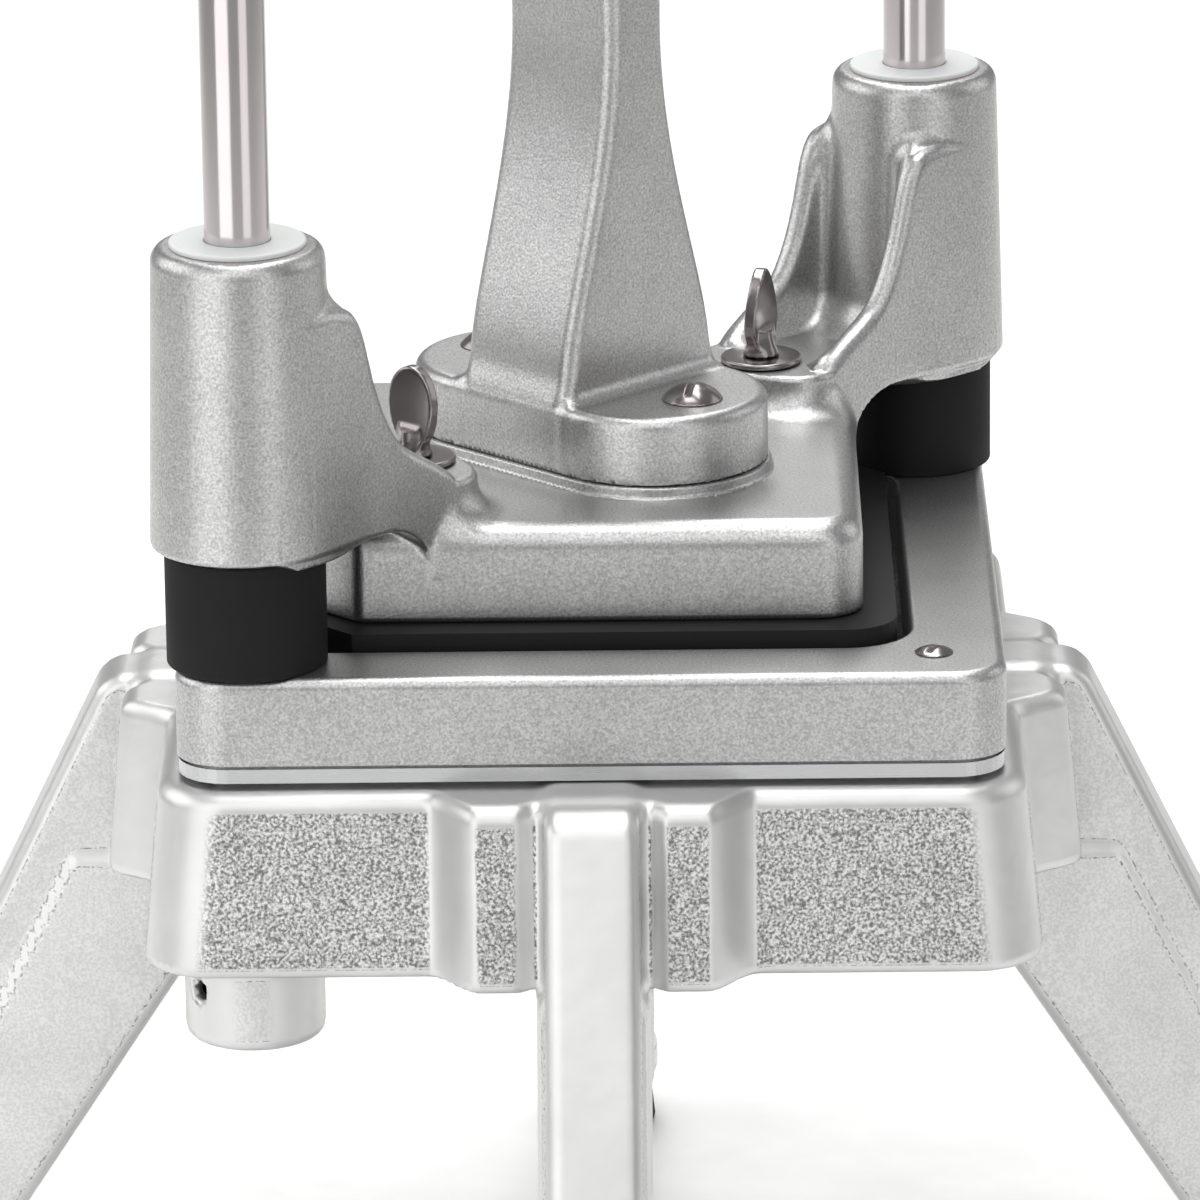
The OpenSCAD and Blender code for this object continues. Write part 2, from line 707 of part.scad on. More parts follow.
// Upper bush has a flange that rests on the boss
module bush_upper() color("white") translate([0, 0, z_bush]) difference() {
    union() {
        translate([0, 0, -bush_l + press_gap]) cylinder(h = bush_l, r = bush_r - press_gap);
        rotate_extrude() polygon(concat([[0, 0], [bush_flange_r, 0]],
            arc(bush_flange_r - bush_edge_r, bush_flange_t - bush_edge_r, bush_edge_r, 0, 90, 4),
            [[0, bush_flange_t]]));
    }
    translate([0, 0, -bush_l - over])
        cylinder(h = bush_l + bush_flange_t + 2 * over, r = rod_r + run_fit);
}
module bush_lower() color("white") translate([0, 0, z_boss + press_gap]) difference() {
    cylinder(h = bush_l - 2 * press_gap, r = bush_r - press_gap);
    translate([0, 0, -over]) cylinder(h = bush_l + 2 * over, r = rod_r + run_fit);
}
module bush_front_upper() { translate([-rod_xy, -rod_xy, 0]) bush_upper(); }
module bush_front_lower() { translate([-rod_xy, -rod_xy, 0]) bush_lower(); }
module bush_rear_upper() { translate([rod_xy, rod_xy, 0]) bush_upper(); }
module bush_rear_lower() { translate([rod_xy, rod_xy, 0]) bush_lower(); }

// Toothed block: a plate with one finger for each cell of the grid
module push_block() color([0.12, 0.12, 0.12]) {
    z_under = z_block - press_t;
    z_tip = z_blade - finger_past;
    difference() {
        union() {
            translate([0, 0, z_under]) linear_extrude(press_t)
                polygon(cut_square(press_w, press_corner_r, press_chamfer));
            intersection() {
                for (i = [0:cells - 1]) for (j = [0:cells - 1])
                    translate([(i + 0.5) * cell_w - grid_half - finger_w / 2,
                        (j + 0.5) * cell_w - grid_half - finger_w / 2, z_tip])
                        cube([finger_w, finger_w, z_under - z_tip + over]);
                translate([0, 0, z_tip - over]) linear_extrude(z_under - z_tip + 2 * over)
                    polygon(cut_square(press_w, press_corner_r, press_chamfer));
            }
        }
        for (s = [-1, 1]) translate([s * thumb_reach, s * thumb_reach, z_under + insert_floor])
            cylinder(h = press_t, r = insert_r);
    }
}

module push_block_inserts() color("goldenrod")
    for (s = [-1, 1]) translate([s * thumb_reach, s * thumb_reach,
        z_block - press_t + insert_floor]) difference() {
        cylinder(h = press_t - insert_floor, r = insert_r - press_gap);
        translate([0, 0, -over]) cylinder(h = press_t + 2 * over, r = m6_r + run_fit);
    }

// Column and yoke of the handle, in a frame with X along the grip
function column_ring(w, t, z) = [for (p = round_rect(t, w, column_edge_r, 4)) [p[0], p[1], z]];
module handle() color("darkgray") translate([0, 0, z_seat]) rotate(-45) difference() {
    union() {
        rounded_top(flange_h, flange_edge_r, 4) polygon(foot_outline(0));
        loft(concat(
            [for (s = column_share) column_ring(
                column_foot_w + (column_neck_w - column_foot_w) * s[1], column_t,
                flange_edge_r + (neck_h - flange_edge_r) * s[0])],
            [for (s = yoke_share) column_ring(
                column_neck_w + column_neck_w * s[1], column_t + column_t * s[2],
                neck_h + (grip_h - neck_h) * s[0])]));
        translate([0, 0, grip_h]) for (m = [0, 1]) mirror([m, 0, 0]) rotate([0, 90, 0])
            rotate_extrude() polygon(concat(
                [[0, 0], [grip_r, 0]],
                [for (i = [1:11]) let (t = i / 12)
                    [grip_waist_r + (grip_r - grip_waist_r)
                        * (cos(360 * t) + 1) / 2, t * (grip_half_l - grip_r)]],
                arc(0, grip_half_l - grip_r, grip_r, 0, 90, 10)));
    }
    for (s = [-1, 1]) translate([s * handle_screw_reach, 0, -over])
        cylinder(h = flange_h + 2 * over, r = m6_r + press_gap);
}

module handle_screws() color("silver") rotate(-45)
    for (s = [-1, 1]) translate([s * handle_screw_reach, 0, z_flange])
        slotted_screw(m6_r, flange_h + block_h - block_wall, m6_head_r, m6_head_h);

module thumb_washer() color("silver") translate([0, 0, z_thumb + seat]) difference() {
    cylinder(h = thumb_washer_t, r = thumb_washer_r);
    translate([0, 0, -over])
        cylinder(h = thumb_washer_t + 2 * over, r = m6_r + screw_hole_gap);
}
module thumb_screw(turn) color("silver") {
    z_collar = z_thumb + 2 * seat + thumb_washer_t;
    z_end = z_block - press_t + insert_floor + seat;
    collar_h = wing_h * collar_share[len(collar_share) - 1][1];
    translate([0, 0, z_end]) cylinder(h = z_collar - z_end + over, r = m6_r);
    translate([0, 0, z_collar]) rotate_extrude() polygon(concat(
        [[0, 0]],
        [for (s = collar_share) [thumb_washer_r * s[0], wing_h * s[1]]],
        [[0, collar_h]]));
    translate([0, 0, z_collar + (collar_h + wing_h) / 2]) rotate([90, 0, turn])
        translate([0, 0, -wing_t / 2]) linear_extrude(wing_t)
            polygon(oval(wing_w / 2, wing_h / 2, 32));
}
module at_thumb(s) { translate([s * thumb_reach, s * thumb_reach, 0]) children(); }
module thumb_washer_front() { at_thumb(-1) thumb_washer(); }
module thumb_washer_rear() { at_thumb(1) thumb_washer(); }
module thumb_screw_front() { at_thumb(-1) thumb_screw(wing_turn_front); }
module thumb_screw_rear() { at_thumb(1) thumb_screw(wing_turn_rear); }

base_casting();
foot_front();
foot_right();
foot_rear();
foot_left();
foot_screws();
blade_plate();
blades_across();
blades_deep();
upper_frame();
frame_screws();
rod_front();
rod_rear();
bumper_front();
bumper_rear();
rod_grub_screws();
pusher_casting();
bush_front_upper();
bush_front_lower();
bush_rear_upper();
bush_rear_lower();
push_block();
push_block_inserts();
handle();
handle_screws();
thumb_washer_front();
thumb_screw_front();
thumb_washer_rear();
thumb_screw_rear();
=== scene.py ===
"""Looks of a push-down vegetable dicer: tumbled castings, ground blades, polished rods.

Castings are fields of distances, in millimetres, whose zero surface is meshed, so that
fillets and rounded rims run into each other as they do on a real casting.
"""
import math
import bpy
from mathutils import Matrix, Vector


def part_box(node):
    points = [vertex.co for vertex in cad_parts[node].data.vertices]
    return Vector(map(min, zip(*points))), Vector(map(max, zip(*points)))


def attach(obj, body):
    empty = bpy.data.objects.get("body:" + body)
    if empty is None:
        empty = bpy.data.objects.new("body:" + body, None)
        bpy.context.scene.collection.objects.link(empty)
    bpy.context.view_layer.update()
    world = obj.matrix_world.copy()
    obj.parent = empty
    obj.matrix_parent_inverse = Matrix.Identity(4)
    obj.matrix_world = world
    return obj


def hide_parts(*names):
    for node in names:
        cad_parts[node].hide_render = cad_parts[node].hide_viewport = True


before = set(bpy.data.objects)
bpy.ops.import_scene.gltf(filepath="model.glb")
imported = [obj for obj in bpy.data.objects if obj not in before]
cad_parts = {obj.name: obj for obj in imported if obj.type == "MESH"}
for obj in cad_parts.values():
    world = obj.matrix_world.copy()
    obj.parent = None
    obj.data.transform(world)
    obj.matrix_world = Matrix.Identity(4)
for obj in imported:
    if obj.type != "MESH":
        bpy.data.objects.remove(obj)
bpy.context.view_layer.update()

from types import SimpleNamespace

import bmesh
import bpy
import numpy as np
from bpy.props import FloatProperty, FloatVectorProperty, PointerProperty
from mathutils import Matrix, Vector

bl_info = {
    "name": "Vegetable dicer",
    "version": (1, 0, 0),
    "blender": (4, 5, 0),
    "location": "View3D > Sidebar > Dicer",
    "description": "Dresses a push-down vegetable dicer around its packed frame",
    "category": "Object",
}

# One millimetre, in the metres of the frame
MM = 0.001
# The two ends of the rods' diagonal: name, and sign of x and y
ENDS = (("front", -1), ("rear", 1))


# Places read from the frame

def box_mm(node):
    """Lowest and highest corner of a CAD node, in millimetres."""
    low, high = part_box(node)
    return np.array(low) / MM, np.array(high) / MM


def read_levels():
    """Levels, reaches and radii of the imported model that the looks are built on."""
    foot, base, plate = box_mm("foot_front"), box_mm("base_casting"), box_mm("blade_plate")
    mouth, rod, bumper = box_mm("upper_frame"), box_mm("rod_rear"), box_mm("bumper_rear")
    pusher, handle, washer = (box_mm("pusher_casting"), box_mm("handle"),
                              box_mm("thumb_washer_rear"))
    upper_bush, lower_bush = box_mm("bush_rear_upper"), box_mm("bush_rear_lower")

    def middle(part, axis=0):
        return (part[0][axis] + part[1][axis]) / 2

    def radius(part):
        return (part[1][0] - part[0][0]) / 2

    return SimpleNamespace(
        # Levels over the floor
        foot=foot[1][2], base_top=base[1][2], plate=plate[0][2], frame=plate[1][2],
        top=mouth[1][2], bumper=bumper[1][2], block=pusher[0][2], boss=lower_bush[0][2],
        boss_top=pusher[1][2], bush_top=upper_bush[1][2], seat=handle[0][2],
        washer_low=washer[0][2], washer_top=washer[1][2], grip_top=handle[1][2],
        rod_low=rod[0][2], rod_high=rod[1][2],
        # Reaches from the middle of the dicer, along an axis or, with a u, a diagonal
        foot_reach=-middle(foot, 1), frame_half=mouth[1][0],
        rod_xy=middle(rod), rod_u=middle(rod) * math.sqrt(2),
        thumb_xy=middle(washer), thumb_u=middle(washer) * math.sqrt(2),
        # Radii, and the length of a bush's sleeve
        rod_radius=radius(rod), bumper_radius=radius(bumper), bush_radius=radius(upper_bush),
        sleeve_radius=radius(lower_bush), washer_radius=radius(washer),
        sleeve=lower_bush[1][2] - lower_bush[0][2],
    )


LEVEL = read_levels()


# Settings a user would change

def size(name, millimetres, description):
    """A length property, given in millimetres."""
    return FloatProperty(name=name, description=description, default=millimetres * MM,
                         min=0.0, unit="LENGTH", subtype="DISTANCE", precision=5)


def linear(hex_colour):
    """Linear colour of an sRGB hex value such as D8D8D6."""
    channels = [int(hex_colour[i:i + 2], 16) / 255 for i in (0, 2, 4)]
    return tuple(c / 12.92 if c <= 0.04045 else ((c + 0.055) / 1.055) ** 2.4 for c in channels)


def colour(name, hex_colour, description):
    """A colour property, given as an sRGB hex value."""
    return FloatVectorProperty(name=name, description=description, subtype="COLOR", size=3,
                               min=0.0, max=1.0, default=linear(hex_colour))


def in_mm(group):
    """The lengths of a settings group, in millimetres."""
    return SimpleNamespace(**{k: getattr(group, k) / MM for k in group.__annotations__})


class DicerBaseSettings(bpy.types.PropertyGroup):
    """Sizes of the base casting and its legs."""
    height: size("Height", 36.5, "Height of the skirt")
    deck_half: size("Half width", 84, "Half width of the plain faces at the top")
    draft: size("Draft", 3.5, "How far a face leans out over its height")
    corner: size("Corner radius", 14, "Radius of the upright corners")
    edge: size("Top edge radius", 3.6, "Rounding of the top edge")
    edge_low: size("Lower edge radius", 1.6, "Rounding of the lower edge")
    wall: size("Wall", 5.5, "Wall of the skirt")
    deck: size("Deck", 6, "Thickness of the deck")
    opening_half: size("Opening half width", 60, "Half width of the opening in the deck")
    rib_step: size("Rib step", 9.9, "How far the rib zone stands out")
    rib_start: size("Rib start", 32, "Half width where the rib zone starts to rise")
    rib_flat: size("Rib flat", 21.9, "Half width where the rib reaches its full step")
    rib_inner: size("Rib inner edge", 14.8, "Half distance between the two ribs")
    groove: size("Groove", 2.5, "Depth of the groove between a rib and the leg")
    leg_top: size("Leg top reach", 98.2, "Reach of a leg at the deck")
    leg_corner: size("Leg corner radius", 4, "Rounding between a leg's top and its nose")
    leg_root: size("Leg root reach", 66.6, "Reach of a leg's inner edge under the skirt")
    leg_end_out: size("Leg end outwards", 16.3, "Leg end beyond its foot's axis")
    leg_end_in: size("Leg end inwards", 15.5, "Leg end inside its foot's axis")
    leg_half: size("Leg half thickness", 11.1, "Half thickness of a leg's body")
    nose_half: size("Nose half thickness", 9.2, "Half thickness of a leg's outer nose")
    nose_depth: size("Nose depth", 9, "Depth of the nose, where its soft step starts")
    nose_step: size("Nose step", 0.7, "How far the soft step behind the nose rises")
    step_width: size("Step width", 2.5, "Depth over which the soft step rises")
    body_depth: size("Body depth", 30, "Depth where a leg is at its full thickness")
    leg_edge: size("Leg edge radius", 3, "Rounding of a leg's edges")
    ledge_drop: size("Ledge drop", 1.5, "Drop of a leg's ledge below the skirt")
    ledge_round: size("Ledge rounding", 4, "Height over which the ledge is rounded")
    fillet: size("Fillet", 5, "Fillet between a leg and the skirt")
    rib_fillet: size("Rib fillet", 2.6, "Fillet between a leg and the ribs")
    socket: size("Socket radius", 13.7, "Radius of a rod socket")
    socket_drop: size("Socket drop", 17.9, "Drop of a rod socket below the skirt")
    grub: size("Grub hole radius", 2.15, "Radius of the hole for a grub screw")
    grub_drop: size("Grub drop", 6.5, "Drop of the grub hole below the skirt")
    grub_shift: size("Grub shift", 1.67, "How far a grub hole's mouth is off the diagonal")
    land_inset: size("Land inset", 3.3, "Inset of the seat for the blade plate")
    land_height: size("Land height", 1.1, "Height of that seat over the deck")
    pad: size("Foot pad radius", 10.8, "Radius of the round pad over a foot")
    pad_height: size("Foot pad height", 8, "Height of that pad")


class DicerFrameSettings(bpy.types.PropertyGroup):
    """Sizes of the upper frame."""
    corner: size("Corner radius", 10, "Radius of the outer corners")
    edge: size("Top edge radius", 2.2, "Rounding of the top edge")
    line_height: size("Line height", 0.6, "Height of the dark line under the frame")
    line_depth: size("Line depth", 1.6, "Depth of that line")
    mouth_half: size("Mouth half width", 62.2, "Half width of the square mouth")
    mouth_corner: size("Mouth corner", 13, "Corner radius of the mouth")
    mouth_edge: size("Mouth edge radius", 1.2, "Rounding of the mouth's edge")


class DicerPusherSettings(bpy.types.PropertyGroup):
    """Sizes of the pusher casting."""
    block_half: size("Block half width", 53.2, "Half width of the block")
    block_height: size("Block height", 19.4, "Height of the block")
    block_edge: size("Block edge radius", 5, "Rounding of the block's top edge")
    block_corner: size("Block corner radius", 9, "Radius of the two plain corners")
    block_cut: size("Corner cut reach", 69.5, "Reach of the flat cut beside each rod")
    wall: size("Wall", 5, "Wall of the hollow block")
    boss: size("Boss radius", 16.7, "Radius of a rod boss at its top")
    boss_draft: size("Boss draft", 1.5, "How much wider a boss is at its foot")
    boss_edge: size("Boss rim radius", 3.4, "Rounding of a boss's top rim")
    boss_face: size("Boss facing", 0.5, "How much its machined top face cuts off the rim")
    boss_low: size("Boss foot radius", 1.2, "Rounding of a boss's lower rim")
    wall_outer: size("Arm half width", 16.3, "Half distance over the two arm walls")
    boss_start: size("Wall flare start", 74, "Reach where a wall starts to widen to the boss")
    wall_thick: size("Arm wall", 5.2, "Thickness of an arm wall")
    floor: size("Arm floor", 6.2, "Thickness of the floor between the walls")
    floor_fillet: size("Floor fillet", 8, "Fillet from the floor up to the boss")
    inner_fillet: size("Wall fillet", 4.5, "Fillet between the walls and the floor")
    block_fillet: size("Block fillet", 6.5, "Fillet between an arm's root and the block's top")
    side_fillet: size("Side fillet", 1.2, "Fillet between an arm's sides and the block")
    root_low: size("Root depth", 11, "How far an arm's root reaches down the block's side")
    root_run: size("Root run", 12.6, "Run of the hollow curve under an arm's root")
    root_start: size("Root start", 58.9, "Reach where that curve leaves the block")
    root_front: size("Root front", 42, "Reach of the front of an arm's root")
    root_corner: size("Root corner radius", 9, "Radius of the root's front corners")
    wall_start: size("Wall start", 50, "Reach where an arm's walls begin")
    pad: size("Thumb pad radius", 8.8, "Radius of the pad under a thumb screw")
    post: size("Post radius", 7.5, "Radius of the post round a handle screw")
    foot_margin: size("Foot margin", 0.7, "Margin of the low pad round the handle's foot")


class DicerHandleSettings(bpy.types.PropertyGroup):
    """Sizes of the handle casting."""
    foot_long: size("Foot half length", 40.4, "Half length of the foot, with round ends")
    foot_wide: size("Foot half width", 22.5, "Half width of the foot")
    foot_height: size("Foot height", 13.7, "Height of the foot")
    foot_edge: size("Foot rim radius", 2.2, "Rounding of the foot's rim")
    column_half: size("Column half thickness", 14.9, "Half thickness across the grip")
    column_foot: size("Column foot half width", 22.5, "Half width at the foot")
    column_shoulder: size("Shoulder half width", 20.4, "Half width over the shoulder")
    column_neck: size("Column neck half width", 7.7, "Half width at the neck")
    shoulder_start: size("Shoulder start", 11, "Height where the shoulder starts")
    taper_start: size("Taper start", 20, "Height where the taper starts")
    taper_height: size("Taper height", 66, "Height over which the column tapers")
    column_edge: size("Column edge radius", 3.4, "Rounding of the column's edges")
    side_fillet: size("Side fillet", 3, "Fillet at the faces beside the screws")
    flow_fillet: size("Flow fillet", 0.3, "Fillet where a face runs on into the foot's side")
    screw_reach: size("Screw reach", 28.6, "Distance of the screws from the column's axis")
    screw_head: size("Screw head radius", 6.2, "Radius of a domed screw head")
    screw_dome: size("Screw head height", 3.3, "Height of a domed screw head")
    grip: size("Grip radius", 13.5, "Radius of the grip at its swell")
    waist: size("Waist radius", 11.5, "Radius of the grip at its waist")
    grip_half: size("Grip half length", 105, "Half length of the grip")
    grip_fillet: size("Grip fillet", 26, "Fillet between the column and the grip")


class DicerFinishSettings(bpy.types.PropertyGroup):
    """Colours of the finishes."""
    bright: colour("Bright casting", "EDEDEC", "Tumbled aluminium of the base")
    bright_pit: colour("Bright casting pits", "7E7E7E", "Pits between its grains")
    casting: colour("Fine casting", "D4D4D3", "Tumbled aluminium of the pusher and handle")
    casting_pit: colour("Fine casting pits", "A6A6A6", "Pits between its grains")
    steel: colour("Polished steel", "D0C9CA", "Polished stainless steel")
    blade: colour("Ground steel", "C9CACB", "Ground stainless steel of the blades")
    rubber: colour("Rubber", "0C0C0C", "Moulded black rubber")
    nylon: colour("Black nylon", "0E0E0F", "Moulded black nylon of the push block")
    bush: colour("Bush nylon", "D4D6D5", "Turned natural nylon of the bushes")
    brass: colour("Brass", "C8A25A", "Turned brass of the inserts")
    screw: colour("Screw steel", "9C9596", "Barrel-polished steel of the screws")
    oxide: colour("Black oxide", "2A2A2C", "Black oxide of the grub screws")
    floor: colour("Floor", "F6F6F5", "Plain pale floor")


class DicerStageSettings(bpy.types.PropertyGroup):
    """Viewpoint of the photograph."""
    focal: FloatProperty(name="Focal length", description="Lens, on a 36 mm sensor",
                         default=274.84, unit="CAMERA")
    distance: size("Distance", 1837.85, "Camera to the point it looks at")
    elevation: FloatProperty(name="Elevation", description="Height angle of the camera",
                             default=math.radians(17.467), subtype="ANGLE", unit="ROTATION")
    yaw: FloatProperty(name="Yaw", description="Turn of the camera round the dicer",
                       default=math.radians(0.474), subtype="ANGLE", unit="ROTATION")
    roll: FloatProperty(name="Roll", description="Tilt of the picture",
                        default=math.radians(0.70), subtype="ANGLE", unit="ROTATION")
    target: FloatVectorProperty(name="Target", description="Point that the camera looks at",
                                default=(1.386 * MM, 0.0, 168.859 * MM), unit="LENGTH")


# Small details that a user has no reason to change, in millimetres. An edge and a low are the
# roundings of a shape's upper and lower rim, and a fillet is where it meets what carries it.

# Size of the grid that each casting or screw is meshed on
BASE_GRID, CASTING_GRID, THUMB_GRID, SCREW_GRID = 1.45, 0.95, 0.4, 0.32
# Room that the grid leaves round a casting
MARGIN = 2

BASE = SimpleNamespace(
    groove_gap=1.5,                     # From a leg's nose to the groove's full depth
    hollow_round=3, hollow_rim=1.6,     # Roundings inside the hollow and at its mouth
    hollow_open=3,                      # How far it runs on below the skirt, in walls
    web_inset=2, web_edge=1.5,          # Web that ties a leg to the deck
    pad_edge=2, pad_low=1.2, pad_fillet=4,
    sunk=3,                             # Depth in the deck where what touches it begins
    socket_edge=1, socket_low=2.4, socket_fillet=3,
    boss=7, boss_length=22, boss_edge=1, boss_low=1.5, boss_fillet=2,   # Of a frame screw
    land_corner=6.7, land_edge=0.5, land_low=1,
    opening_corner=4, opening_edge=1,
    bore_gap=0.3, bore_edge=0.5, grub_edge=0.7,
)

PUSHER = SimpleNamespace(
    block_low=0.8, cut_edge=1,          # Lower rim of the block and edges of its corner cuts
    facing_edge=0.15,                   # Edge round a boss's machined face
    floor_edge=1.5, floor_low=1,
    floor_lap=2, floor_inset=1,         # Floor's start and sides, inside those of the walls
    rim_top=49.4, rim_end=4,            # Heights of a wall's rim at the boss and at its start
    wall_low=1, wall_edge=2.5,          # Edges of a wall, low down and above
    wall_edge_start=2, wall_edge_run=4,     # Heights over the arm's underside between them
    snug_fillet=1.2, snug_run=3,        # Fillet at a wall's outside, and where it grows
    fade=12,                            # Length in which a wall's fillet ends at the boss
    root_inside=30, root_rise=20, root_lap=2,   # Hidden ends of an arm's root
    root_fillet=5,                      # Between the thumb screw's pad and the arm
    root_floor=2, root_drop=0.2,        # Root over the block's foot and under the washer
    root_edge=1.2, root_side_edge=0.8,
    side_end=60, side_run=8,            # Reach where the fillet along an arm's side ends
    seat_sunk=4, seat_edge=0.4, seat_fillet=0.5,
    hollow_corner=5, hollow_cut_edge=3, hollow_round=2.5, hollow_rim=0.8,
    hollow_open=6,                      # How far the hollow runs on below the block
    post_fillet=1,
    bore_gap=0.1, bore_edge=0.5, thumb_hole=3.4, thumb_hole_edge=0.3,
)
# Rim of an arm wall: reach along the diagonal and height over the block's top
ARM_RIM = [(86, 49.4), (82.5, 48.9), (79, 48), (77, 45.8), (75.5, 42.5), (74.2, 37.5),
           (72.5, 31), (70, 24.5), (66.5, 18.7), (62, 15.6), (57.5, 13), (52.5, 9.6),
           (51.2, 7.5)]

HANDLE = SimpleNamespace(
    foot_low=0.5,                       # Lower rim of the foot
    sunk=2,                             # Height in the foot where the column begins
    shoulder_lap=1,                     # How far the shoulder runs into the taper
    taper_power=0.75,                   # Below one: the taper is quicker at its start
    flow_start=1, flow_run=4,           # Depth in the column where its fillet fades
    grip_fillet=1,                      # Fillet low down, where the grip is far away
    grip_start=60, grip_run=60,         # Heights where the fillet to the grip grows
)

# A rounding that leaves an edge sharp to the eye
CRISP = 0.01

FRAME = SimpleNamespace(
    line_edge=0.3,                      # Rounding over the dark line under the frame
    least_corner=0.5,                   # Least corner radius of a loop round the frame
)

# Gaps round the rods, and roundings of the turned pieces
TURNED = SimpleNamespace(
    rod_low=0.8, rod_top=2,
    bumper_gap=0.1, bumper_low=0.5, bumper_rim=0.9, bumper_hole=0.4,
    bush_gap=0.06, bush_end=0.4, bush_seat=0.2, bush_rim=0.5, bush_hole=0.3,
    washer_low=0.4, washer_rim=0.5, washer_hole=0.3,
)

# Screws with a domed head and a slot
SCREW = SimpleNamespace(
    rim=0.35,                           # Rounding of the head's rim
    slot=1.2, slot_level=0.55,          # Width of the slot, and its floor's level in the head
    slot_corner=0.1, slot_edge=0.25,
    shank=2.45, shank_edge=0.1, shank_end=0.4,
    sunk=0.5,                           # How far the shank runs into the head
    room=1,                             # Room that the grid leaves round a screw
    frame_head=4.1, frame_dome=1.3,     # Radius and height of a frame screw's head
    handle_turn=0.35, frame_turn=0.1,   # Turns of the slots, in radians
)

THUMB = SimpleNamespace(
    wing_low=0.9, wing_half=5.75, wing_edge=0.5,
    thick=1.25, dish=0.45, dish_half=7.5,   # Half thickness, and how it thins in the middle
    neck_fillet=1.6, shank=2.95,
    sunk=0.5,                           # How far the shank runs into the neck
    lift=0.2,                           # From the washer up to the screw's seat
    reach=7, room=1,                    # Half width of its grid, and room over and under it
    washer_hole=3.3,
)
# Flared neck of a thumb screw: radius and height over its seat
THUMB_NECK = [(0, 0), (3.7, 0), (3.6, 0.5), (3.3, 1.2), (2.95, 2), (2.65, 2.9), (2.5, 3.8),
              (2.4, 5), (0, 5)]
# Turn and twist of each thumb screw's wing, in radians
THUMB_TURNS = {"front": (-0.85, 0.25), "rear": (0.95, 0.4)}


# Distances, in millimetres, negative inside

def ease(t):
    """Smooth step from 0 to 1."""
    t = np.clip(t, 0, 1)
    return t * t * (3 - 2 * t)


def blend(start, end, t):
    """From one value to another, smoothly, while t runs from 0 to 1."""
    return start + (end - start) * ease(t)


def diagonals(x, y):
    """Place along the diagonal of the rods, and along the other one."""
    return (x + y) / math.sqrt(2), (x - y) / math.sqrt(2)


def square(x, y, half, radius, deep=None):
    """Distance to a square, or a rectangle of half depth deep, with round corners."""
    a = np.abs(x) - half + radius
    b = np.abs(y) - (half if deep is None else deep) + radius
    return np.hypot(np.maximum(a, 0), np.maximum(b, 0)) + np.minimum(np.maximum(a, b), 0) - radius


def ellipse(x, y, a, b):
    """Distance to an ellipse, close to true near its edge."""
    k = np.hypot(x / a, y / b)
    return k * (k - 1) / np.maximum(np.hypot(x / a ** 2, y / b ** 2), TINY)


def polygon(x, y, points):
    """Distance to a closed polygon."""
    points = np.asarray(points, float)
    best = np.full(np.shape(x), np.inf)
    sign = np.ones(np.shape(x))
    for (ax, ay), (bx, by) in zip(points, np.roll(points, 1, axis=0)):
        ex, ey = bx - ax, by - ay
        wx, wy = x - ax, y - ay
        t = np.clip((wx * ex + wy * ey) / (ex * ex + ey * ey), 0, 1)
        best = np.minimum(best, (wx - ex * t) ** 2 + (wy - ey * t) ** 2)
        above, below, left = y >= ay, y < by, ex * wy > ey * wx
        flip = (above & below & left) | ~(above | below | left)
        sign = np.where(flip, -sign, sign)
    return sign * np.sqrt(best)


def slab(outline, z, low, high, top_edge, low_edge=None):
    """An outline made solid between two heights, with rounded rims."""
    middle = (low + high) / 2
    r = np.where(z > middle, top_edge, top_edge if low_edge is None else low_edge)
    a, b = outline + r, np.abs(z - middle) - (high - low) / 2 + r
    return np.hypot(np.maximum(a, 0), np.maximum(b, 0)) + np.minimum(np.maximum(a, b), 0) - r


def join(a, b, r):
    """Both shapes, with a fillet of radius r where they meet."""
    return np.maximum(r, np.minimum(a, b)) - np.hypot(np.maximum(r - a, 0), np.maximum(r - b, 0))


def both(a, b, r):
    """What is in both shapes, its new edge rounded to radius r."""
    return np.minimum(-r, np.maximum(a, b)) + np.hypot(np.maximum(r + a, 0), np.maximum(r + b, 0))


def cut(a, b, r):
    """The first shape without the second, the new edge rounded to radius r."""
    return both(a, -b, r)


# Meshes

BLOCK = 8               # Grid points along a side of a block
CHUNK = 1500            # Blocks worked out at a time
NEAR = 1.5              # Blocks from the surface within which one is worked out in full
MOVES = 3               # Times that a point is moved onto the surface
LONGEST_MOVE = 0.7      # The most that it moves at a time, in grid steps
LEAST_SLOPE = 0.25      # Least squared slope that a move is worked out with
MOVE_REACH, NORMAL_REACH = 0.1, 0.25    # Grid steps over which a slope is taken
SHARP = math.radians(40)                # Angle from which an edge shows
TINY = 1e-9             # Keeps a divisor from being nothing


def sample(field, low, high, step):
    """Field values on a grid, worked out in full only in blocks near the surface."""
    blocks = np.ceil((np.asarray(high) - low) / step / BLOCK).astype(int) + 1
    edge = BLOCK * step
    centre = [low[i] + edge * np.arange(blocks[i]) + step * (BLOCK - 1) / 2 for i in range(3)]
    coarse = field(*np.meshgrid(*centre, indexing="ij"))
    grid = np.repeat(np.repeat(np.repeat(coarse, BLOCK, 0), BLOCK, 1), BLOCK, 2)
    near = np.argwhere(np.abs(coarse) < NEAR * edge)
    offsets = np.stack(np.meshgrid(*[np.arange(BLOCK)] * 3, indexing="ij"), -1)
    view = grid.reshape(blocks[0], BLOCK, blocks[1], BLOCK, blocks[2], BLOCK)
    for start in range(0, len(near), CHUNK):
        b = near[start:start + CHUNK]
        p = low + step * (b[:, None, None, None, :] * BLOCK + offsets)
        view[b[:, 0], :, b[:, 1], :, b[:, 2], :] = field(p[..., 0], p[..., 1], p[..., 2])
    return grid


